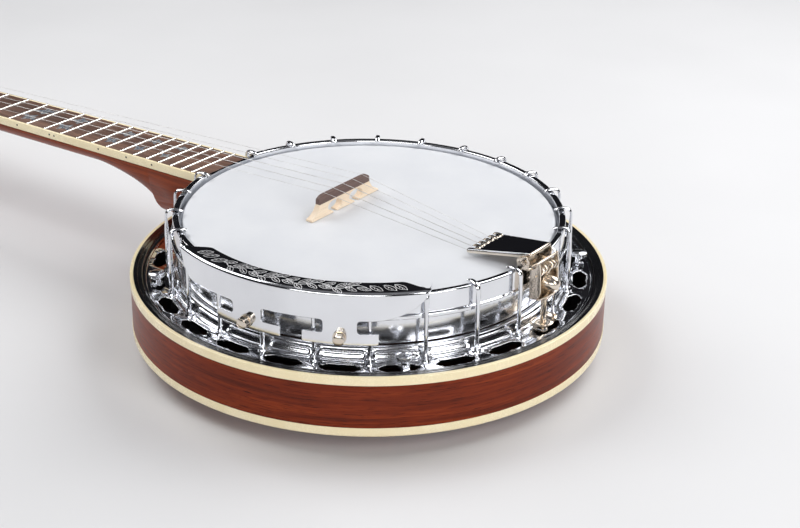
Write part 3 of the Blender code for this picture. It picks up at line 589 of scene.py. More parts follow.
def make_hoop():
    """The stretcher band: a rounded top, a tall plain face and a ledge, notched for the fingerboard."""
    lip = HOOP_BORE_R - 0.0016
    profile = rounded([
        (HOOP_R, HOOP_TOP, 0.0013), (HOOP_R, BAND_LOW, 0.0003), (LEDGE_R, BAND_LOW - 0.0004, 0.0007),
        (LEDGE_R, LEDGE_LOW, 0.0005), (HOOP_BORE_R, LEDGE_LOW, 0.0003), (HOOP_BORE_R, 0.0888, 0.0002),
        (lip, 0.0888, 0.0003), (lip, 0.0915, 0.0004), (HOOP_BORE_R, 0.0927, 0.0003),
        (HOOP_BORE_R, HOOP_TOP, 0.0013),
    ], 0.0003, 4)
    half = BOARD_HALF + 0.0012
    notch = block((-0.16, -half, BOARD_ORIGIN.z - BOARD_THICKNESS - 0.0008),
                  (BOARD_END_X + 0.0008, half, 0.11))
    trim = block((-0.16, -half, BOARD_ORIGIN.z + 0.0008), (-0.12, half, 0.11))
    ring = combined(lathe(profile, FINE), [notch, trim])
    show("stretcher_band", ring, CHROME, replaces="tension_hoop")


def make_tone_ring():
    """The arched ring under the head, with the smooth skirt that shows between band and flange."""
    inner = FLESH_R - 0.0032
    profile = rounded([
        (RIM_R + GAP, SKIRT_LOW), (SKIRT_R, SKIRT_LOW, 0.0006), (SKIRT_R, SKIRT_TOP, 0.0004),
        (inner, 0.0834), (inner, 0.0932), (0.1312, 0.0957, 0.0008), (0.1280, 0.0945, 0.0008),
        (0.1252, 0.0847), (0.1252, 0.0800),
        (RIM_R + GAP, 0.0800),
    ], 0.0002, 3)
    show("tone_ring_skirt", lathe(profile, 240), SOFT_CHROME, replaces="tone_ring")


def flange_mids():
    """The middles of the spaces between neighbouring hooks, without the space at the neck."""
    turns = sorted(hook_angles())
    pairs = [(a, b) for a, b in zip(turns, turns[1:]) if b - a < NECK_SPACE * 0.9]
    pairs.append((turns[-1], turns[0] + TAU))
    return [((a + b) / 2, b - a) for a, b in pairs]


def boss(u, v, half):
    """How far the wall stands out at (u, v) in a space: the rim of a long oval, and a fuller middle."""
    reach = hypot(max(abs(u) - (half - 0.0030), 0.0), v)
    ridge = exp(-(((reach - 0.0024) / 0.00062) ** 2))
    return 0.00085 * ridge + 0.00025 * smoothstep(1 - reach / 0.0022)


def make_flange():
    """The rounded tube round the pot and the wall below it, with a long oval between each pair of hooks."""
    wall = [(lerp(TUBE_R, WALL_R, t), lerp(FLANGE_TOP - 0.0019, PLATE_TOP + 0.0002, t))
            for t in (i / 22 for i in range(23))]
    tube_top = rounded([(RIM_R + GAP, 0.0600), (RIM_R + 0.0012, FLANGE_TOP), (TUBE_R - 0.0004, FLANGE_TOP),
                        wall[0]],
                       0.0018, 5, closed=False)
    low = [(WALL_R + 0.0004, PLATE_LOW + 0.0004), (RIM_R + GAP, PLATE_LOW + 0.0004)]
    mids = flange_mids()
    rings = []
    for k in range(960):
        a = TAU * k / 960
        middle, space = min(mids, key=lambda m: abs((a - m[0] + pi) % TAU - pi))
        u = ((a - middle + pi) % TAU - pi) * WALL_R
        half = space * WALL_R / 2 - 0.0026
        ring = [polar(r, a, z) for r, z in tube_top[:-1]]
        for r, z in wall:
            out = boss(u, z - (wall[0][1] + wall[-1][1]) / 2 + 0.0002, half)
            ring.append(polar(r + out, a, z + out * 0.3))
        rings.append(ring + [polar(r, a, z) for r, z in low])
    show("flange_wall", skin(rings, along=True), SOFT_CHROME, sharp=60)

    rim = circle(FLANGE_R, 360)
    holes = [circle(WALL_R - 0.002, 360)]
    for middle, space in mids:
        if space < NECK_SPACE * 0.9:
            holes.append(cutout_outline(middle))
    holes.append(circle(0.0024, 16, (TAIL_BOLT_X, 0)))
    show("flange_plate", plate([rim, *holes], PLATE_LOW, PLATE_TOP, 0.0004), CHROME,
         replaces="flange")
    edge = rounded([(FLANGE_R - 0.0022, PLATE_TOP - 0.0003), (FLANGE_R - 0.0022, PLATE_TOP + 0.0006),
                    (FLANGE_R, PLATE_TOP + 0.0006), (FLANGE_R, PLATE_TOP - 0.0003)], 0.0005, 3)
    show("flange_edge", lathe(edge, FINE), CHROME)


def cutout_outline(middle):
    """A flange opening: straight inside, a soft cusp in its outer side, and two scallops at each end."""
    inner, outer = 0.1492, 0.1588
    centre = (inner + outer) / 2
    half = radians(5.3)
    right = [
        (0.00, outer - 0.0010), (0.06, outer - 0.0002), (0.16, outer), (0.62, outer),
        (0.72, outer - 0.0008), (0.78, outer - 0.0022), (0.84, outer - 0.0019), (0.93, centre + 0.0016),
        (1.00, centre), (0.93, centre - 0.0016), (0.84, inner + 0.0019), (0.78, inner + 0.0022),
        (0.72, inner + 0.0008), (0.62, inner), (0.0, inner),
    ]
    whole = [(share, r) for share, r in right] + [(-share, r) for share, r in reversed(right[1:-1])]
    smoothed = rounded([(share * half * centre, r) for share, r in whole], 0.0012, 3)
    return [tuple(polar(r, middle + s / centre)[:2]) for s, r in smoothed]


def make_hooks():
    """Bracket hooks: a flat curl over the band, a round shank with a thread, and a nut under the flange."""
    over = HOOP_TOP + GAP + 0.0010
    route = curve_through([
        (HOOP_BORE_R - 0.0022, 0, HEAD_Z + 0.0034), (HOOP_BORE_R - 0.0017, 0, over - 0.0010),
        (HOOP_BORE_R + 0.0006, 0, over + 0.0002), (HOOP_R, 0, over + 0.0002),
        (HOOK_R - 0.0014, 0, over - 0.0009), (HOOK_R, 0, over - 0.0042), (HOOK_R, 0, over - 0.0120),
        (HOOK_R, 0, 0.0640), (HOOK_R, 0, HOOK_LOW + 0.0008),
    ], 6)
    radii = []
    for point in route:
        flat = smoothstep((point.z - (over - 0.016)) / 0.012)
        radii.append((lerp(0.0015, 0.0018, flat), lerp(0.0015, 0.0009, flat)))
    shank = tube(route, radii, 14, across=(0, 1, 0))
    nut = prism(circle(0.0040, 6, (HOOK_R, 0)), HOOK_LOW + 0.0020, PLATE_LOW - GAP)
    washer = prism(circle(0.0034, 20, (HOOK_R, 0)), PLATE_TOP + 0.0001, PLATE_TOP + 0.0008)
    shape = merged([shank, nut, washer])
    shape.materials.append(CHROME)
    for i, angle in enumerate(hook_angles()):
        show(f"bracket_hook_{i + 1:02d}", shape, CHROME, replaces=f"hook_{i + 1:02d}",
             turn=angle)


def knurled(radius, low, high, teeth=28, depth=0.00028):
    """A short knurled wheel with chamfered edges."""
    rings = []
    for share, z in ((0.80, low), (1, low + 0.0006), (1, high - 0.0006), (0.80, high)):
        ring = []
        for k in range(teeth * 4):
            r = radius * share - (depth if (k % 4) in (2, 3) and share == 1 else 0)
            ring.append(polar(r, TAU * k / (teeth * 4), z))
        rings.append(ring)
    return skin(rings)


def make_thumbscrews():
    """Knurled heads with a domed top, a waist and a hexagonal foot, over the bracket on the flange."""
    foot = PLATE_TOP + GAP
    head = knurled(0.0057, foot + 0.0066, foot + 0.0104)
    dome = lathe([(0, foot + 0.0110), (0.0026, foot + 0.0109), (0.0041, foot + 0.0104),
                  (0.0041, foot + 0.0090), (0, foot + 0.0090)], 32)
    waist = lathe(rounded([(0.0001, foot + 0.0070), (0.0034, foot + 0.0070), (0.0026, foot + 0.0050),
                           (0.0030, foot + 0.0024), (0.0001, foot + 0.0024)], 0.0006), 32)
    hexagon = prism(circle(0.0045, 6), foot, foot + 0.0026)
    shape = merged([head, dome, waist, hexagon])
    shape.materials.append(CHROME)
    for i, angle in enumerate(THUMBSCREW_ANGLES):
        name = f"thumbscrew_{i + 1}"
        copy = moved(shape.copy(), shift(polar(THUMBSCREW_R, angle)))
        show(f"{name}_knurled", copy, CHROME, body=name, replaces=name, bevel=0.00012)


# ---------------------------------------------------------------- resonator


# Near-black rim: partly a real dark stain, partly painted shade for the rim seen in shadow through the
# flange cutouts.
RIM_STAIN_AND_SHADE = wood_look("stained_rim_and_painted_shade", "round", (0.060, 0.022, 0.010), (0.034, 0.011, 0.005),
                     (0.014, 0.005, 0.003), 0.4)


def make_resonator():
    """A laminated bowl with an arched back, cream bindings, a black lip and a near-black inside that is
    painted shade.
    """
    side = RESONATOR_R - 0.0002
    outer = [(side, RESONATOR_TOP - 0.002), (side, RESONATOR_LOW + 0.002)]
    back = [(RESONATOR_R - 0.004, RESONATOR_LOW - 0.0022), (BACK_FLAT_R + 0.040, 0.0058),
            (BACK_FLAT_R + 0.022, 0.0018), (BACK_FLAT_R, 0.0), (BACK_FLAT_R * 0.98, 0.0), (0.08, 0),
            (0.04, 0), (0, 0)]
    inner = [(0, 0.0055), (BACK_FLAT_R, 0.0055), (BACK_FLAT_R + 0.040, 0.0120), (0.1613, 0.0165),
             (0.1613, 0.0505), (LIP_R - 0.0002, 0.0505), (LIP_R - 0.0002, RESONATOR_TOP - 0.002)]
    shell = lathe([*outer, *back, *inner], FINE)
    shell.materials.append(MAHOGANY_SIDE)
    shell.materials.append(MAHOGANY_BACK)
    shell.materials.append(INSIDE_PAINTED_SHADE)
    for face in shell.polygons:
        middle, normal = face.center, face.normal
        outward = normal.x * middle.x + normal.y * middle.y
        reach = hypot(middle.x, middle.y)
        if reach > side - 0.001 and outward > 0:
            face.material_index = 0
        else:
            # The rest of the bowl's inside gets the near-black painted shade.
            face.material_index = 1 if normal.z < -0.2 and middle.z < 0.0135 else 2
    show("resonator_shell", shell, None, replaces="resonator")
    edge = RESONATOR_R + 0.0001
    top = RESONATOR_TOP
    bindings = (
        ("binding_upper", [(edge, top, 0.0007), (edge, top - BINDING_HEIGHT, 0.0001),
                           (edge - 0.0012, top - BINDING_HEIGHT), (edge - BINDING_WIDTH, top - 0.0030),
                           (edge - BINDING_WIDTH, top, 0.0001)]),
        ("binding_lower", [(edge, RESONATOR_LOW + BINDING_HEIGHT, 0.0001), (edge, RESONATOR_LOW, 0.0008),
                           (edge - 0.0038, RESONATOR_LOW - 0.0025, 0.0004), (edge - 0.0045, RESONATOR_LOW),
                           (edge - 0.0012, RESONATOR_LOW + BINDING_HEIGHT)]),
    )
    for name, profile in bindings:
        show(name, lathe(rounded(profile, 0.0001, 4), FINE), BINDING)
    lip = RESONATOR_R - BINDING_WIDTH
    groove = 0.0004
    profile = rounded([
        (LIP_R, top - 0.0030), (LIP_R, top - 0.0004, 0.0006), (0.16720, top - 0.0002),
        (0.16745, top - 0.0002 - groove), (0.16800, top - 0.0002 - groove), (0.16825, top - 0.0002),
        (lip, top - 0.0001), (lip, top - 0.0030),
    ], 0.0001, 2)
    show("resonator_lip", lathe(profile, FINE), BLACK)


def back_look():
    """Bookmatched mahogany for the back, with two rings of cream and black purfling."""
    look = Look("mahogany_back", Coat_Weight=1.0, Coat_Roughness=0.03)
    x, y, _ = look.node("SeparateXYZ", Vector=look.place).outputs
    folded = look.node("CombineXYZ", X=x, Y=look.math("ABSOLUTE", y)).outputs[0]
    streak = look.noise(1.0, 6.0, at=look.scaled(16.0, 300.0, 1.0, at=folded), rough=0.6, twist=0.6)
    figure = look.noise(1.0, 3.0, at=look.scaled(6.0, 44.0, 1.0, at=folded), twist=1.6)
    tone = look.ramp(look.total(streak, 0.5, figure, 0.5),
                     (0.30, (0.110, 0.018, 0.007)), (0.50, (0.250, 0.048, 0.014)),
                     (0.72, (0.400, 0.095, 0.026)))
    reach = look.reach(x, y)
    for radius in (0.0560, 0.1460):
        off = look.math("ABSOLUTE", look.math("SUBTRACT", reach, radius))
        black = look.math("LESS_THAN", off, 0.0017)
        cream = look.math("LESS_THAN", off, 0.0009)
        tone = look.mix(black, tone, (0.012, 0.010, 0.009))
        tone = look.mix(cream, tone, (0.85, 0.74, 0.50))
    return look.done(Base_Color=tone, Roughness=look.ramp(streak, (0.3, 0.30), (0.7, 0.42)),
                     Normal=look.bump(streak, 0.00005, 0.25))


MAHOGANY_BACK = back_look()


# ---------------------------------------------------------------- neck


def neck_frame():
    """X along the fingerboard, Z square to it, with Z = 0 at its face and X as in the world."""
    turn = turned(-NECK_PITCH, "Y")
    return shift(BOARD_ORIGIN) @ turn @ shift((-BOARD_ORIGIN.x, 0, 0))


def headstock_frame():
    return neck_frame() @ shift(HEADSTOCK_PLACE) @ turned(-HEADSTOCK_PITCH, "Y")


NECK = neck_frame()
HEADSTOCK = headstock_frame()


def fret_x(number):
    return NUT_X + SCALE_LENGTH * (1 - 2 ** (-number / 12))


def board_edges(x):
    """The fingerboard's bass and treble edges at x."""
    half = BOARD_HALF + (x - fret_x(FRETS)) * BOARD_TAPER
    return -half + STEP_DEPTH * smoothstep((STEP_X[0] - x) / (STEP_X[0] - STEP_X[1])), half


def heel_run(x):
    """0 where the heel begins to turn down, 1 where it is full depth."""
    return min(max((x - HEEL_X[0]) / (HEEL_X[1] - HEEL_X[0]), 0.0), 1.0)


def heel_depth(x):
    floor = BOARD_ORIGIN.z - HEEL_LOW + NECK_PITCH * (x - BOARD_ORIGIN.x) - BOARD_THICKNESS
    return NECK_DEPTH + (floor - NECK_DEPTH) * (1 - sqrt(1 - heel_run(x) ** 1.3))


def neck_ring(x, middle, half, top, depth, square=1.0, steps=28):
    """A rounded section: flat on top, round below. A smaller square gives a boxier one."""
    ring = []
    for k in range(steps + 1):
        a = pi * k / steps
        y = half * copysign(abs(cos(a)) ** square, cos(a))
        ring.append(Vector((x, middle + y, top - depth * sin(a) ** (square * 1.18))))
    return ring


def headstock_half():
    """The headstock's outline on one side, from the nut to the tip."""
    return [(0.004, 0.0165), (-0.016, 0.0240), (-0.030, 0.0345), (-0.062, 0.0330), (-0.098, 0.0365),
            (-0.128, 0.0385), (-0.146, 0.0330), (-0.156, 0.0200), (-0.151, 0.0070)]


def headstock_outline(inset=0.0):
    half = headstock_half()
    corners = half + [(-0.153, 0.0)] + [(x, -y) for x, y in reversed(half)]
    smoothed = rounded([(x, y, 0 if x > 0 else 0.009) for x, y in corners], 0.009, 6)
    if not inset:
        return smoothed
    made = []
    for i, here in enumerate(smoothed):
        back = Vector(smoothed[i - 1])
        on = Vector(smoothed[(i + 1) % len(smoothed)])
        run = (on - back).normalized()
        made.append((here[0] + run.y * -inset, here[1] + run.x * inset))
    return made


def make_neck():
    """The shaft with its volute and heel, and the headstock's blade, binding, face, cover and inlay."""
    top = -BOARD_THICKNESS - GAP
    stations = [NUT_X - 0.004 + 0.388 * (i / 40) for i in range(40)]
    stations = [x for x in stations if x < HEEL_X[0] - 0.002]
    stations += [lerp(*HEEL_X, sin(pi / 2 * i / 32)) for i in range(33)] + [-0.17, -0.13]
    rings = []
    for k in range(9):
        t = 1 - k / 8
        x = -0.040 * t
        half = lerp(0.0160, 0.0330, smoothstep(t))
        ring = neck_ring(x, 0, half, -0.0015, lerp(NECK_DEPTH - 0.001, HEADSTOCK_THICKNESS - 0.0025,
                                                   smoothstep(t)),
                         lerp(1.0, 0.45, t))
        if t > 0:
            rings.append([HEADSTOCK @ p for p in ring])
    for x in stations:
        bass, treble = board_edges(x)
        square = lerp(1.0, 0.85, heel_run(x))
        ring = neck_ring(x, (bass + treble) / 2, (treble - bass) / 2, top, heel_depth(x), square)
        rings.append([NECK @ p for p in ring])
    shaft = skin(rings)
    clear = 2 * GAP
    pot = [(0, 0.14), (HOOP_R + clear, 0.14), (HOOP_R + clear, BAND_LOW + clear),
           (LEDGE_R + clear, BAND_LOW + clear), (LEDGE_R + clear, LEDGE_LOW - clear),
           (SKIRT_R + GAP, LEDGE_LOW - clear), (SKIRT_R + GAP, FLANGE_TOP + clear),
           (WALL_R + clear, FLANGE_TOP + clear), (WALL_R + clear, 0.03), (0, 0.03)]
    bowl = prism(circle(RESONATOR_R + clear, 256), 0.0, RESONATOR_TOP + clear)
    show("neck_shaft", combined(shaft, [lathe(pot, 192), bowl]), MAHOGANY, replaces="neck",
         sharp=75)
    face = headstock_outline()
    show("headstock_blade", moved(plate([face], -HEADSTOCK_THICKNESS, -OVERLAY, 0.0010), HEADSTOCK),
         MAHOGANY)
    inner = headstock_outline(0.0016)
    show("headstock_binding", moved(plate([face, inner], -OVERLAY, 0, 0.0003), HEADSTOCK), BINDING)
    show("headstock_face", moved(plate([headstock_outline(0.00165)], -OVERLAY, -0.0001, 0.0001), HEADSTOCK),
         BLACK)
    bell = [(-0.006, 0.0050), (-0.010, 0.0062), (-0.024, 0.0058), (-0.036, 0.0030), (-0.040, 0.0000)]
    bell = rounded(bell + [(x, -y) for x, y in reversed(bell[:-1])], 0.002, 4)
    show("truss_rod_cover", moved(plate([bell], 0.0, 0.0016, 0.0003), HEADSTOCK), DOT)
    for i, x in enumerate((-0.0105, -0.0355)):
        screw = moved(screw_head(0.0017), HEADSTOCK @ shift((x, 0, 0.0016)))
        show(f"truss_cover_screw_{i + 1}", screw, NICKEL)
    crown = []
    for side in (-1, 1):
        for length, turn in ((0.011, 0.25), (0.014, 0.75)):
            crown.append(leaf_plate(length, 0.0036,
                                    shift((-0.127, side * 0.002, 0)) @ turned(pi - side * turn, "Z")))
    diamond = rounded([(0.006, 0), (0, 0.0035), (-0.006, 0), (0, -0.0035)], 0.0008, 3)
    crown.append(prism([(x - 0.118, y) for x, y in diamond], -0.0003, 0.00005))
    show("headstock_inlay", moved(merged(crown), HEADSTOCK), PEARL)


def leaf_plate(length, width, matrix, high=0.00005):
    """A thin pearl leaf lying along X."""
    outline = []
    for sign in (1, -1):
        for k in range(9):
            t = k / 9 if sign > 0 else 1 - k / 9
            outline.append((length * t, sign * width / 2 * sin(pi * t ** 0.8)))
    return moved(prism(outline, -0.0003, high), matrix)


def screw_head(radius):
    """A slotted oval head standing on Z = 0."""
    dome = lathe([(0, radius * 0.55), (radius * 0.5, radius * 0.48), (radius * 0.85, radius * 0.28),
                  (radius, 0), (0, 0)], 24)
    slot = block((-radius, -radius * 0.13, radius * 0.30), (radius, radius * 0.13, radius))
    return combined(dome, [slot])


def board_side(sign, inset):
    """One edge of the board from the nut to the pot, moved in by inset."""
    steps = [NUT_X, STEP_X[1] - 0.004]
    steps += [lerp(STEP_X[1], STEP_X[0], k / 10) for k in range(11)]
    steps += [STEP_X[0] + 0.004, BOARD_END_X]
    return [(x, board_edges(x)[1] - inset if sign > 0 else board_edges(x)[0] + inset) for x in steps]


def make_board():
    """Rosewood between cream bindings, with crowned frets, pearl markers and black side dots."""
    bass = board_side(-1, BOARD_BINDING)
    treble = board_side(1, BOARD_BINDING)
    wood = moved(plate([bass + treble[::-1]], -BOARD_THICKNESS, 0.0, 0.0001), NECK)
    show("fingerboard_wood", wood, ROSEWOOD, replaces="fingerboard")
    for name, sign in (("binding_bass", -1), ("binding_treble", 1)):
        outline = board_side(sign, 0.0) + board_side(sign, BOARD_BINDING)[::-1]
        show(name, moved(plate([outline], -BOARD_THICKNESS, 0.00005, 0.0004), NECK), BINDING)
    for number in range(1, FRETS + 1):
        x = fret_x(number)
        low, high = board_edges(x)
        section = [(-0.0010, -0.0004), (-0.00098, 0.0002), (-0.00075, 0.00068), (-0.00035, 0.00095),
                   (0.0, 0.0010), (0.00035, 0.00095), (0.00075, 0.00068), (0.00098, 0.0002),
                   (0.0010, -0.0004)]
        rings = []
        for share, y in ((0.35, low + 0.0011), (0.85, low + 0.0015), (1, low + 0.0020), (1, high - 0.0020),
                         (0.85, high - 0.0015), (0.35, high - 0.0011)):
            rings.append([(x + px, y, pz * share if pz > 0 else pz) for px, pz in section])
        show(f"fret_{number:02d}", moved(skin(rings), NECK), FRET_WIRE)
    markers = []
    for number in MARKED_FRETS:
        x = (fret_x(number) + fret_x(number - 1)) / 2
        gap = fret_x(number) - fret_x(number - 1)
        low, high = board_edges(x)
        middle, half = (low + high) / 2, (high - low) / 2
        for side in (-1, 1):
            centre = shift((x, middle + side * half * 0.38, 0))
            size = min(gap * 0.36, 0.0072)
            for k in range(8):
                turn = turned(TAU * k / 8 + 0.35 * side, "Z")
                reach = size * (1.45, 0.70, 1.0, 0.60)[k % 4]
                leaf = centre @ turn @ shift((size * 0.10, 0, 0))
                markers.append(leaf_plate(reach, size * (0.52, 0.34)[k % 2], leaf, 0.00003))
    show("pearl_markers", moved(merged(markers), NECK), PEARL)
    dots = []
    for number in MARKED_FRETS:
        x = (fret_x(number) + fret_x(number - 1)) / 2
        for beside in ((-0.0028, 0.0028) if number == 12 else (0.0,)):
            edge = board_edges(x)[0]
            place = NECK @ shift((x + beside, edge, -BOARD_THICKNESS * 0.45))
            dots.append(moved(lathe([(0, 0.00006), (0.0008, 0.00006), (0.0009, -0.0005), (0, -0.0005)], 16),
                              place @ turned(pi / 2, "X")))
    show("side_dots", merged(dots), DOT)


def make_nut():
    """A bone nut with four string slots and a rounded back."""
    bass, treble = board_edges(NUT_X)
    low, high = bass + 0.0002, treble - 0.0002
    step = (treble - bass - 0.0070) / 3
    slots = sorted(treble - 0.0035 - step * i for i in range(4))
    top = [(low, 0.0018)]
    for y in slots:
        top += [(y - 0.0005, 0.0023), (y - 0.0003, 0.0018), (y + 0.0003, 0.0018), (y + 0.0005, 0.0023)]
    top += [(high, 0.0018), (high, -BOARD_THICKNESS), (low, -BOARD_THICKNESS)]
    rings = [[(x, y, z - drop if z > 0 else z) for y, z in top] for x, drop in
             ((NUT_X - 0.0050, 0.0012), (NUT_X - 0.0042, 0.0004), (NUT_X - 0.0006, 0.0),
              (NUT_X - GAP, 0.0002))]
    show("string_nut", moved(skin(rings), NECK), BONE, replaces="nut")


def make_tuners():
    """Four planetary tuners: collar and post above the face, stepped housing and pearly button below."""
    under = -HEADSTOCK_THICKNESS - GAP
    post = lathe([(0, 0.0130), (0.0024, 0.0130), (POST_R, 0.0124), (POST_R, 0.0100), (0.0023, 0.0085),
                  (0.0022, 0.0055), (0.0026, 0.0040), (POST_R, 0.0030), (POST_R, -0.0136),
                  (0, -0.0136)], 24)
    eye = moved(prism(circle(0.0006, 10), -0.006, 0.006), shift((0, 0, 0.0068)) @ turned(pi / 2, "X"))
    post = combined(post, [eye])
    collar = merged([prism(circle(0.0056, 6), 0.0001, 0.0022),
                     lathe(rounded([(0.0034, 0.0001), (0.0068, 0.0001), (0.0068, 0.0007), (0.0034, 0.0009)],
                                   0.0002), 32)])
    housing = lathe(rounded([
        (0, under), (0.0080, under, 0.0004), (0.0080, under - 0.0036, 0.0004), (0.0073, under - 0.0042),
        (0.0073, under - 0.0116), (0.0078, under - 0.0122, 0.0003), (0.0078, under - 0.0142, 0.0006),
        (0.0052, under - 0.0168, 0.0008), (0.0048, under - 0.0190, 0.0003), (0, under - 0.0190),
    ], 0.0002, 3), 48)
    bottom = under - 0.0190 - GAP
    rings = []
    for share, z in ((0.62, bottom - 0.0162), (0.86, bottom - 0.0155), (1.0, bottom - 0.0135),
                     (1.0, bottom - 0.0080), (0.86, bottom - 0.0058), (0.50, bottom - 0.0045),
                     (0.36, bottom - 0.0030), (0.36, bottom - 0.0002)):
        rings.append([(0.0110 * lerp(1, 0.80, share < 0.6) * share * copysign(abs(cos(a)) ** 0.8, cos(a)),
                       0.0063 * share * copysign(abs(sin(a)) ** 0.8, sin(a)), z)
                      for a in angles(40)])
    button = skin(rings)
    for i, (x, y) in enumerate(PEG_PLACES):
        place = HEADSTOCK @ shift((x, y, 0))
        number = i + 1
        show(f"post_capstan_{number}", moved(post.copy(), place), NICKEL, body=f"post_{number}",
             replaces=f"tuner_post_{number}")
        show(f"post_collar_{number}", moved(collar.copy(), place), NICKEL, bevel=0.00015)
        show(f"gear_housing_{number}", moved(housing.copy(), place), NICKEL,
             replaces=f"tuner_housing_{number}")
        show(f"button_{number}", moved(button.copy(), place), BUTTON, body=f"knob_{number}",
             replaces=f"tuner_knob_{number}")
        screw = moved(screw_head(0.0022), place @ shift((0, 0, bottom - 0.0160)) @ turned(pi, "X"))
        show(f"button_screw_{number}", screw, NICKEL, body=f"knob_{number}")


def make_fifth_peg():
    """The short string's peg in the neck's side, and the bone pip by the fifth fret."""
    bass, _ = board_edges(FIFTH_PEG_X)
    place = NECK @ shift((FIFTH_PEG_X, bass, FIFTH_PEG_Z)) @ turned(pi / 2, "X")
    shaft = lathe(rounded([(0, 0.0188), (0.0046, 0.0188, 0.0006), (0.0046, 0.0112, 0.0005),
                           (0.0034, 0.0104, 0.0004), (POST_R, 0.0090),
                           (0.0023, 0.0075), (0.0023, 0.0045), (POST_R, 0.0030), (POST_R, -0.0088),
                           (0, -0.0088)], 0.0002, 3), 32)
    show("fifth_peg_shaft", moved(shaft, place), NICKEL, body="fifth_peg",
         replaces="fifth_peg")
    rings = []
    for share, z in ((0.40, 0.0189), (0.86, 0.0198), (1.0, 0.0215), (1.0, 0.0300), (0.9, 0.0320),
                     (0.66, 0.0329)):
        rings.append([(0.0108 * share * cos(a), 0.0062 * share * sin(a), z) for a in angles(36)])
    show("fifth_peg_button", moved(skin(rings), place), BUTTON, body="fifth_peg")
    collar = lathe(rounded([(0.0034, 0.0001), (0.0060, 0.0001), (0.0056, 0.0012), (0.0034, 0.0014)],
                           0.0002), 32)
    show("fifth_peg_collar", moved(collar, place), NICKEL)
    wide, _ = board_edges(STEP_X[0])
    pip = lathe([(0, 0.0030), (0.0010, 0.0028), (0.0013, 0.0016), (0.0009, 0.0010), (0.0009, -0.0010),
                 (0, -0.0010)], 16)
    show("fifth_string_pip", moved(pip, NECK @ shift((fret_x(5) - 0.0012, wide + 0.0042, 0))), BONE)


# ---------------------------------------------------------------- bridge, tailpiece, armrest, strings

# These stand an (x, y) outline in the YZ plane and in the XZ plane.
ON_EDGE = Matrix(((0, 0, 1, 0), (1, 0, 0, 0), (0, 1, 0, 0), (0, 0, 0, 1)))
UPRIGHT = Matrix(((1, 0, 0, 0), (0, 0, 1, 0), (0, 1, 0, 0), (0, 0, 0, 1)))


def make_bridge():
    """Maple with two oval arches and flared feet, under a dark cap notched for the strings."""
    cap_low = 0.0101
    foot = [(0.0387, 0.0), (0.0386, 0.0013), (0.0345, 0.0030), (0.0315, 0.0055), (0.0298, 0.0085),
            (0.0290, cap_low)]
    under = []
    for centre in (-0.0123, 0.0123):
        under.append((centre - 0.0023, 0.0))
        for k in range(33):
            a = radians(252.8 - 325.6 * k / 32)
            under.append((centre + 0.0078 * cos(a), 0.0050 + 0.0042 * sin(a)))
        under.append((centre + 0.0023, 0.0))
    outline = [(-0.0387, 0.0), *under, *foot, *[(-y, z) for y, z in reversed(foot[1:])]]
    cap = [(-0.0290, cap_low, 0), (-0.0293, 0.0142, 0.001), (-0.0262, 0.0163, 0.002)]
    for i in range(5):
        y = (i - 2) * STRING_SPACING
        cap += [(y - 0.0006, BRIDGE_HEIGHT, 0), (y, BRIDGE_HEIGHT - 0.0002, 0),
                (y + 0.0006, BRIDGE_HEIGHT, 0)]
    cap += [(0.0262, 0.0163, 0.002), (0.0293, 0.0142, 0.001), (0.0290, cap_low, 0)]
    for name, shape, look, inset, node in (
        ("bridge_maple", outline, MAPLE, 0.0, "bridge"),
        ("bridge_cap", rounded(cap, 0), DARK_CAP, 0.00002, None),
    ):
        mesh = moved(plate([shape], -0.0030 + inset, 0.0030 - inset, 0.0002), ON_EDGE)
        for vertex in mesh.vertices:
            vertex.co.x *= 1 - 0.53 * vertex.co.z / BRIDGE_HEIGHT
        moved(mesh, shift(BRIDGE))
        show(name, mesh, look, replaces=node or ())


def tail_frame():
    """X from the cover's front edge to its back, Z out of its face."""
    run = (TAIL_REAR - TAIL_FRONT).normalized()
    turn = Matrix((run, Vector((0, 1, 0)), run.cross(Vector((0, 1, 0))))).transposed().to_4x4()
    return shift(TAIL_FRONT) @ turn


def make_tail_cover():
    """The flip-up plate: five slots and claws in front, folded sides and a rolled back edge."""
    place = tail_frame()
    length = (TAIL_REAR - TAIL_FRONT).length
    claws = [(i - 2) * 0.0062 for i in range(5)]
    front = []
    for y in claws:
        front += [(0, y - 0.0011, 0.0004), (0.0042, y - 0.0011, 0.001), (0.0042, y + 0.0011, 0.001),
                  (0, y + 0.0011, 0.0004)]
    outline = [(0, -TAIL_FRONT_HALF, 0.0012), *front, (0, TAIL_FRONT_HALF, 0.0012),
               (length, TAIL_REAR_HALF, 0.0006), (length, -TAIL_REAR_HALF, 0.0006)]
    top = plate([rounded(outline[::-1], 0.0006, 4)], -0.0010, 0, 0.00025)
    show("tail_cover_plate", moved(top, place), DARK_CHROME, body="tail_cover",
         replaces="tailpiece_cover")
    trims = []
    for side in (-1, 1):
        rings = []
        for x, half, drop in ((0.0004, TAIL_FRONT_HALF, 0.0024), (0.003, TAIL_FRONT_HALF - 0.0003, 0.0029),
                              (length - 0.006, TAIL_REAR_HALF + 0.0006, 0.0034),
                              (length - 0.001, TAIL_REAR_HALF, 0.0030)):
            rings.append([(x, side * (half - y), -z) for y, z in
                          ((0.0002, 0.0001), (0.0, 0.0004), (0.0, drop - 0.0003), (0.0004, drop),
                           (0.0010, drop), (0.0010, 0.0002))])
        trims.append(skin(rings))
    roll = [(length - 0.0004, y, -0.0013) for y in (-TAIL_REAR_HALF + 0.0004, 0, TAIL_REAR_HALF - 0.0004)]
    trims.append(tube(roll, 0.0014, 16))
    for y in claws:
        path = curve_through([(0.0010, y + 0.0031, -0.0004), (0.0014, y + 0.0031, 0.0006),
                              (0.0040, y + 0.0031, 0.0009), (0.0078, y + 0.0030, 0.0002)], 4)
        trims.append(tube(path, [(0.0009, 0.0004)] * len(path), 10, across=(0, 1, 0)))
    show("tail_cover_trim", moved(merged(trims), place), NICKEL, body="tail_cover")


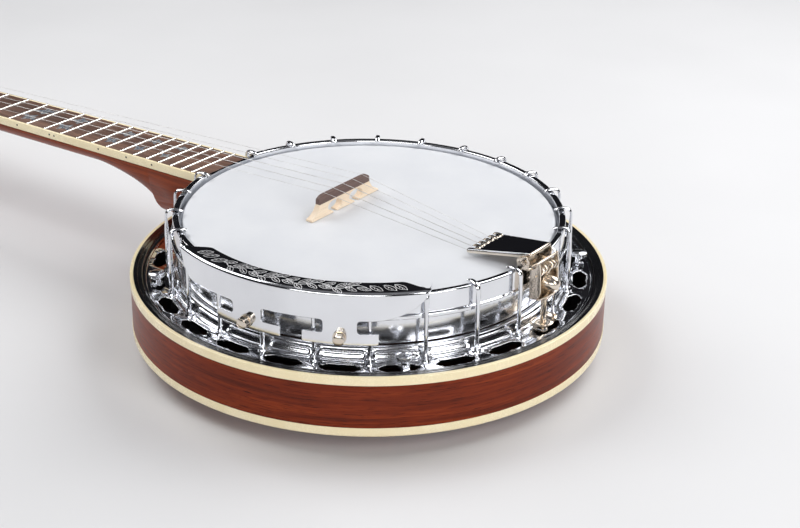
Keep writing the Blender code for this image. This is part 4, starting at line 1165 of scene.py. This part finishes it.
def flat_pair(outline, inner, outer):
    """The same upright plate on both sides of the middle."""
    return [
        moved(plate([outline[::-1]], low, low + outer - inner, 0.00025), UPRIGHT)
        for low in (-outer, inner)
    ]


def make_tail_casing():
    """The part that hangs on the band: string plate, cheeks, hinge ears, loops, dome nut, lip and bolt."""
    place = tail_frame()
    base = rounded([(0.0075, -0.0100), (0.0440, -0.0100), (0.0440, 0.0100), (0.0075, 0.0100)], 0.0015)
    parts = [moved(plate([base], -0.0042, -0.0032, 0.0002), place)]
    strap = rounded([(0.1352, -0.0107), (0.1462, -0.0107), (0.1462, 0.0107), (0.1352, 0.0107)], 0.0006)
    parts.append(plate([strap], HOOP_TOP + GAP, HOOP_TOP + 0.0015, 0.0002))
    web = rounded([(-0.0110, 0.0785), (0.0110, 0.0785), (0.0110, 0.0985), (-0.0110, 0.0985)], 0.0008)
    parts.append(moved(plate([web], 0.1450, 0.1461, 0.0002), ON_EDGE))
    cheek = [(0.1450, 0.0780), (0.1516, 0.0780, 0.0012), (0.1536, 0.0826, 0.002), (0.1530, 0.1006, 0.003),
             (0.1518, 0.1056, 0.0008), (0.1502, 0.1056, 0.0006), (0.1492, 0.1004, 0.002), (0.1450, 0.0990)]
    parts += flat_pair(rounded(cheek, 0.0006), 0.0107, 0.0119)
    ear = [(0.1366, 0.0990, 0.002), (0.1352, 0.1052, 0.0015), (0.1432, 0.1090, 0.0015),
           (0.1456, 0.1052, 0.001), (0.1450, 0.0985, 0.001)]
    parts += flat_pair(rounded(ear, 0.001), 0.0138, 0.0147)
    for side in (-1, 1):
        pin = merged([prism(circle(0.0022, 6), 0.0, 0.0014),
                      lathe([(0, 0.0024), (0.0009, 0.0022), (0.0012, 0.0014), (0, 0.0014)], 16)])
        parts.append(moved(pin, axis_turn((0.1414, side * 0.0147, 0.1040), (0, side, 0))))
        parts.append(tube([(0.1455, side * 0.0112, 0.0992), (0.1453, side * 0.0130, 0.0995),
                           (0.1450, side * 0.0142, 0.0998)], 0.0010, 12))
    for x, z, radius in ((0.1509, 0.1046, 0.0008), (0.1500, 0.0952, 0.0007)):
        parts.append(tube([(x, -0.0128, z), (x, 0, z), (x, 0.0128, z)], radius, 14))
    for k in range(6):
        y = (k - 2.5) * 0.0036
        lean = 0.0009 * sin(2.3 * k)
        loop = [(0.1464, y, 0.0986), (0.1500, y + 0.0008, 0.1008 + lean),
                (0.1534, y + 0.0012, 0.0994 + lean), (0.1526, y - 0.0002, 0.0962 + lean),
                (0.1496, y - 0.0012, 0.0954), (0.1492, y - 0.0008, 0.0978)]
        parts.append(tube(curve_through(loop, 5), 0.00075, 8))
    for y in (-0.0072, 0.0, 0.0072):
        stud = merged([lathe([(0, 0.0040), (0.0012, 0.0037), (0.0017, 0.0028), (0.0017, 0.0018),
                              (0, 0.0018)], 20),
                       prism(circle(0.0024, 6), 0.0, 0.0018)])
        parts.append(moved(stud, axis_turn((0.1461, y, 0.0968), (1, 0, 0))))
    nut = merged([lathe(rounded([(0, 0.0), (0.0074, 0.0), (0.0074, 0.0010), (0, 0.0010)], 0.0003), 32),
                  prism(circle(0.0066, 6), 0.0010, 0.0048),
                  lathe([(0, 0.0152), (0.0016, 0.0150), (0.0034, 0.0141), (0.0048, 0.0124),
                         (0.0055, 0.0098), (0.0056, 0.0056), (0.0060, 0.0050), (0.0060, 0.0044),
                         (0, 0.0044)], 36)])
    parts.append(moved(nut, axis_turn((0.1461, 0, 0.0872), (1, 0, 0))))
    lip = [(0.1450, -0.0119), (0.1526, -0.0119, 0.001), (0.1556, 0.0, 0.009), (0.1546, 0.0119, 0.001),
           (0.1450, 0.0119)]
    parts.append(plate([rounded(lip, 0.0006)], 0.0774, 0.0785, 0.0002))
    show("tail_casing", merged(parts), NICKEL, replaces="tailpiece_bracket")
    stem = rounded([(0.0001, 0.0774), (0.0042, 0.0774), (0.0042, 0.0764), (0.0032, 0.0752),
                    (0.0021, 0.0744), (0.0021, 0.0460), (0.0001, 0.0460)], 0.0003)
    bolt = [lathe(stem, 24), prism(circle(0.0042, 6), 0.0440, PLATE_LOW - GAP)]
    show("tail_bolt", moved(merged(bolt), shift((TAIL_BOLT_X, 0, 0))), NICKEL)
    path = []
    for y, z in ((-0.0105, 0.0590), (-0.0085, 0.0556), (-0.0045, 0.0545), (0.0045, 0.0545),
                 (0.0085, 0.0556), (0.0105, 0.0590)):
        path.append((TAIL_BOLT_X + 0.08 * (z - 0.0545), y, z))
    path = curve_through(path, 5)
    washer = rounded([(0.0022, 0.0551), (0.0056, 0.0551), (0.0056, 0.0562), (0.0022, 0.0562)], 0.0003)
    saddle = [tube(path, [(0.0046, 0.0005)] * len(path), 12, across=(1, 0, 0)),
              moved(lathe(washer, 32), shift((TAIL_BOLT_X, 0, 0)))]
    show("tail_saddle", merged(saddle), NICKEL)


def apron_low(angle):
    """The armrest's lower edge: an elliptical sweep down from each tip."""
    first, last = ARMREST_SPAN
    t = min((angle - first) / ARMREST_TIPS[0], (last - angle) / ARMREST_TIPS[1], 1.0)
    return lerp(ARMREST_TIP_LOW, ARMREST_APRON_LOW, sqrt(1 - (1 - max(t, 0.0)) ** 2))


def make_armrest():
    """A crescent plate with a rolled edge over an apron, on two splayed feet clamped behind the hooks."""
    rings = []
    steps = 160
    shell = 0.0014
    taper = radians(6.5)
    first, last = ARMREST_SPAN
    for i in range(steps + 1):
        angle = lerp(first, last, (1 - cos(pi * i / steps)) / 2)
        end = min((angle - first) / taper, (last - angle) / taper, 1.0)
        inner = lerp(ARMREST_R - 0.0046, ARMREST_INNER_R, smoothstep(end))
        outer = ARMREST_R
        low = max(ARMREST_APRON_TOP, apron_low(angle))
        profile = rounded([
            (inner, ARMREST_TOP, 0.0004), (outer, ARMREST_TOP, 0.0026), (outer, low, 0.00005),
            (outer - shell, low, 0.00005), (outer - shell, ARMREST_TOP - shell, 0.0014),
            (inner, ARMREST_TOP - shell, 0.0004),
        ], 0.0005, 8)
        rings.append([polar(r, angle, z) for r, z in profile])
    show("armrest_plate", skin(rings), CHROME, replaces="armrest", sharp=50)
    middle = (first + last) / 2
    top = ARMREST_APRON_TOP + 0.0003
    low_edge = []
    fallen = (ARMREST_TIP_LOW - ARMREST_APRON_TOP + 0.0003) / (ARMREST_TIP_LOW - ARMREST_APRON_LOW)
    begin = 1 - sqrt(1 - fallen**2)
    for k in range(14):
        angle = first + ARMREST_TIPS[0] * lerp(begin, 1, k / 13)
        low_edge.append(((angle - middle) * ARMREST_R, apron_low(angle), 0))
    for foot in ARMREST_FEET:
        at = (foot - middle) * ARMREST_R
        stem, wide = radians(4.3) * ARMREST_R, radians(9.7) * ARMREST_R
        side = [(stem, ARMREST_APRON_LOW, 0.0028), (stem, 0.0764, 0.0026), (wide, 0.0764, 0.0008),
                (wide, 0.0684, 0.0010)]
        low_edge += [(at - u, z, cut) for u, z, cut in side]
        low_edge += [(at + u, z, cut) for u, z, cut in reversed(side)]
    for k in range(14):
        angle = last - ARMREST_TIPS[1] * lerp(1, begin, k / 13)
        low_edge.append(((angle - middle) * ARMREST_R, apron_low(angle), 0))
    outline = rounded(low_edge + [(low_edge[-1][0], top, 0), (low_edge[0][0], top, 0)], 0.0, 7)
    show("armrest_apron", curved_plate(outline, middle), CHROME, sharp=40)
    for i, foot in enumerate(ARMREST_FEET):
        head = [(0, 0.0065), (0.0026, 0.0065), (0.0040, 0.0058), (0.0040, 0.0010), (0, 0.0010)]
        bolt = merged([combined(prism(circle(0.0042, 6), 0.0010, 0.0066), [lathe(head, 36)], "INTERSECT"),
                       lathe(rounded([(0, 0.0), (0.0046, 0.0), (0.0046, 0.0010), (0, 0.0010)], 0.0002), 32),
                       lathe([(0, 0.0002), (0.0022, 0.0002), (0.0022, -0.0100), (0, -0.0100)], 16)])
        place = axis_turn(polar(ARMREST_R + 0.0002, foot, 0.0742), polar(1, foot))
        show(f"armrest_bolt_{i + 1}", moved(bolt, place), NICKEL, bevel=0.00015)


def curved_plate(outline, middle):
    """A thin plate bent round the pot: the outline is (arc length, height) about an angle."""
    mesh = plate([outline], 0.0, 0.0014, 0.0003)
    low_u, high_u = min(u for u, _ in outline), max(u for u, _ in outline)
    cuts = int((high_u - low_u) / 0.0012)
    sheet = bmesh.new()
    sheet.from_mesh(mesh)
    for k in range(1, cuts):
        geometry = sheet.verts[:] + sheet.edges[:] + sheet.faces[:]
        at = lerp(low_u, high_u, k / cuts)
        bmesh.ops.bisect_plane(sheet, geom=geometry, plane_co=(at, 0, 0), plane_no=(1, 0, 0), dist=1e-6)
    for vertex in sheet.verts:
        u, z, out = vertex.co
        vertex.co = polar(ARMREST_R - 0.0014 + out, middle + u / ARMREST_R, z)
    bmesh.ops.recalc_face_normals(sheet, faces=sheet.faces)
    sheet.to_mesh(mesh)
    sheet.free()
    return mesh


ENGRAVED_R = 0.1411


def make_engraving():
    """Leaves at the armrest's ends and a trailing vine between them, as fine raised lines."""
    top = ARMREST_TOP + 0.00002
    lines = []

    def line(points, radius=0.00021):
        """points are (arc length from the middle, distance out from the plate's middle line)."""
        path = []
        for s, out in points:
            path.append(polar(ENGRAVED_R + out, middle + s / ENGRAVED_R, top))
        lines.append(tube(curve_through(path, 3), [(radius, 0.00005)] * (3 * (len(path) - 1) + 1), 6,
                          across=polar(1, middle)))

    def leaf(s, out, length, width, turn):
        c, n = cos(turn), sin(turn)
        for sign in (-1, 1):
            points = []
            for k in range(7):
                t = k / 6
                x, y = length * (t - 0.5), sign * width / 2 * sin(pi * t) ** 0.8
                points.append((s + x * c - y * n, out + x * n + y * c))
            line(points)
        line([(s - length * 0.42 * c, out - length * 0.42 * n), (s, out),
              (s + length * 0.30 * c, out + length * 0.30 * n)], 0.00016)
        for t in (-0.15, 0.10):
            line([(s + length * t * c, out + length * t * n),
                  (s + length * (t + 0.14) * c - width * 0.26 * n,
                   out + length * (t + 0.14) * n + width * 0.26 * c)], 0.00013)

    middle = (ARMREST_SPAN[0] + ARMREST_SPAN[1]) / 2
    for end in (-1, 1):
        for k, s in enumerate((0.0730, 0.0660, 0.0570)):
            leaf(end * s, 0.0002 + 0.0004 * k, 0.0110, 0.0052, radians(90 - end * (38 + 4 * k)))
    vine = [(-0.051 + 0.102 * k / 48, 0.0030 * sin(TAU * 4 * k / 48)) for k in range(49)]
    line(vine, 0.00026)
    for k in range(24):
        s = -0.048 + 0.096 * k / 23
        wave = 0.0020 * sin(TAU * 4 * (s + 0.051) / 0.102)
        side = 1 if k % 2 else -1
        leaf(s + 0.0012 * side, wave + side * 0.0034, 0.0096, 0.0040,
             radians(side * 34 + 16 * sin(k * 2.1)))
    for k in range(7):
        s = -0.039 + 0.013 * k
        curl = []
        for j in range(11):
            a = TAU * 1.2 * j / 10
            reach = 0.0024 * (1 - j / 13)
            curl.append((s + reach * cos(a), 0.0002 + reach * sin(a) * (1 if k % 2 else -1)))
        line(curl)
    show("armrest_engraving", merged(lines), ENGRAVING, sharp=80)


def tail_top(x):
    return TAIL_FRONT.z + (x - TAIL_FRONT.x) * (TAIL_REAR.z - TAIL_FRONT.z) / (TAIL_REAR.x - TAIL_FRONT.x)


def make_strings():
    """Each string from its loop under the cover, over bridge and nut, to its turns round the post."""
    crown = BRIDGE + Vector((0, 0, BRIDGE_HEIGHT + GAP + STRING_R))
    bass, treble = board_edges(NUT_X)
    step = (treble - bass - 0.0070) / 3
    for number in range(1, 6):
        y = (3 - number) * STRING_SPACING
        radius = (0.00016, 0.00018, 0.00026, 0.00024, 0.00016)[number - 1]
        hook = Vector((STRING_END_X, y * 0.40, tail_top(STRING_END_X) - 0.0023))
        loop = [hook + Vector((0.0016 * cos(a) - 0.0016, 0.0012 * sin(a), 0))
                for a in (radians(60 + 30 * k) for k in range(-6, 7))]
        route = [*loop, hook + Vector((-0.0060, 0, -0.0006)),
                 Vector((TAIL_FRONT.x - 0.0008, y * 0.62,
                         tail_top(TAIL_FRONT.x) - 0.0010 - 3 * GAP - STRING_R)), crown + Vector((0, y, 0))]
        if number < 5:
            nut = (NUT_X - 0.0049, treble - 0.0035 - step * (number - 1), 0.0024 + GAP + STRING_R)
            x, across = PEG_PLACES[number - 1]
            side = -1 if across > 0 else 1
            route += [NECK @ Vector((NUT_X + 0.001, nut[1], nut[2])), NECK @ Vector(nut)]
            for k in range(40):
                a = side * radians(90) - side * TAU * k / 12
                r = lerp(0.00365, 0.0028, min(k / 10, 1.0))
                centre = Vector((x + (0.0025 if k == 0 else 0.0), across, 0.0060 + 0.0010 * (k / 40)))
                route.append(HEADSTOCK @ (centre + Vector((r * cos(a), r * sin(a), 0))))
        else:
            wide, _ = board_edges(STEP_X[0])
            edge, _ = board_edges(FIFTH_PEG_X)
            route += [NECK @ Vector((fret_x(5) - 0.0012, wide + 0.0042, 0.0032)),
                      NECK @ Vector((STEP_X[0] + 0.0006, wide - 0.0013, 0.0008))]
            for k in range(30):
                a = radians(90) + TAU * k / 12
                r = lerp(0.0038, 0.0028, min(k / 8, 1.0))
                route.append(NECK @ Vector((FIFTH_PEG_X - r * cos(a), edge - 0.0062 + 0.0008 * k / 30,
                                            FIFTH_PEG_Z + r * sin(a))))
        show(f"wire_string_{number}", tube(route, radius, 8), STEEL,
             replaces=f"string_{number}", sharp=80)


def finish_hidden():
    """The rim and the coordinator rod keep their CAD shape and get their own materials. The rim's near
    black is part stain and part painted shade.
    """
    for node, look in (("rim", RIM_STAIN_AND_SHADE), ("coordinator_rod", STEEL)):
        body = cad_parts[node]
        for place in body.material_slots:
            place.material = look


# ---------------------------------------------------------------- room


def make_camera():
    """The camera looks at its target from an azimuth and elevation, and leans by its roll."""
    a, e, roll = CAMERA_AZIMUTH, CAMERA_ELEVATION, CAMERA_ROLL
    back = Vector((sin(a) * cos(e), -cos(a) * cos(e), sin(e)))
    right = UP.cross(back).normalized()
    up = back.cross(right)
    across = right * cos(roll) + up * sin(roll)
    over = up * cos(roll) - right * sin(roll)
    camera = placed("camera", bpy.data.cameras.new("camera"))
    camera.data.lens = CAMERA_LENS
    camera.data.clip_start = 0.05
    camera.data.clip_end = 50
    turn = Matrix((across, over, back)).transposed().to_4x4()
    camera.matrix_world = shift(CAMERA_TARGET + back * CAMERA_DISTANCE) @ turn
    bpy.context.scene.camera = camera


def softbox(name, place, target, width, height, power, colour=(1, 1, 1)):
    light = bpy.data.lights.new(name, "AREA")
    light.shape = "RECTANGLE"
    light.size = width
    light.size_y = height
    light.energy = power
    light.color = colour
    placed(name, light).matrix_world = axis_turn(Vector(place), Vector(place) - Vector(target))


def make_room():
    """A plain pale floor, soft boxes at both sides and behind, and a dim room for the chrome to mirror."""
    look = Look("floor", Specular_IOR_Level=0.15)
    drift = look.noise(3.0, 3.0)
    tint = look.ramp(drift, (0.3, (0.70, 0.70, 0.71)), (0.7, (0.74, 0.74, 0.75)))
    look.done(Base_Color=tint, Roughness=look.ramp(drift, (0.3, 0.55), (0.7, 0.62)))
    floor = placed("floor", block((-6, -6, -0.05), (6, 6, -0.0003)))
    floor.data.materials.append(look.material)
    world = bpy.data.worlds.new("room")
    world.use_nodes = True
    bpy.context.scene.world = world
    tree = world.node_tree
    direction = tree.nodes.new("ShaderNodeTexCoord").outputs["Generated"]
    split = tree.nodes.new("ShaderNodeSeparateXYZ")
    ramp = tree.nodes.new("ShaderNodeValToRGB")
    tree.links.new(direction, split.inputs[0])
    tree.links.new(split.outputs["Z"], ramp.inputs["Fac"])
    ramp.color_ramp.elements[0].position = 0.50
    ramp.color_ramp.elements[0].color = (0.010, 0.010, 0.012, 1)
    ramp.color_ramp.elements[1].position = 1.0
    ramp.color_ramp.elements[1].color = (0.20, 0.20, 0.21, 1)
    tree.links.new(ramp.outputs["Color"], tree.nodes["Background"].inputs["Color"])
    tree.nodes["Background"].inputs["Strength"].default_value = 1.0
    middle = (0, 0, 0.06)
    for name, azimuth, height, reach, width, tall, power in SOFTBOXES:
        place = polar(reach, radians(azimuth), height)
        softbox(name, place, middle, width, tall, power)


SOFTBOXES = (  # name, azimuth, height, distance, width, height of the box, watts
    ("left_rear", 190, 1.25, 1.15, 1.2, 1.0, 17),
    ("right_rear", 70, 1.15, 1.10, 1.3, 1.0, 20), ("front_low", 292, 0.62, 1.70, 1.5, 0.42, 9),
    ("right_front", 345, 0.80, 1.35, 0.5, 0.9, 8),
)


bpy.context.scene.view_settings.view_transform = "Standard"
make_camera()
make_head()
make_hoop()
make_tone_ring()
make_flange()
make_hooks()
make_thumbscrews()
make_resonator()
make_neck()
make_board()
make_nut()
make_tuners()
make_fifth_peg()
make_bridge()
make_tail_cover()
make_tail_casing()
make_armrest()
make_engraving()
make_strings()
finish_hidden()
make_room()
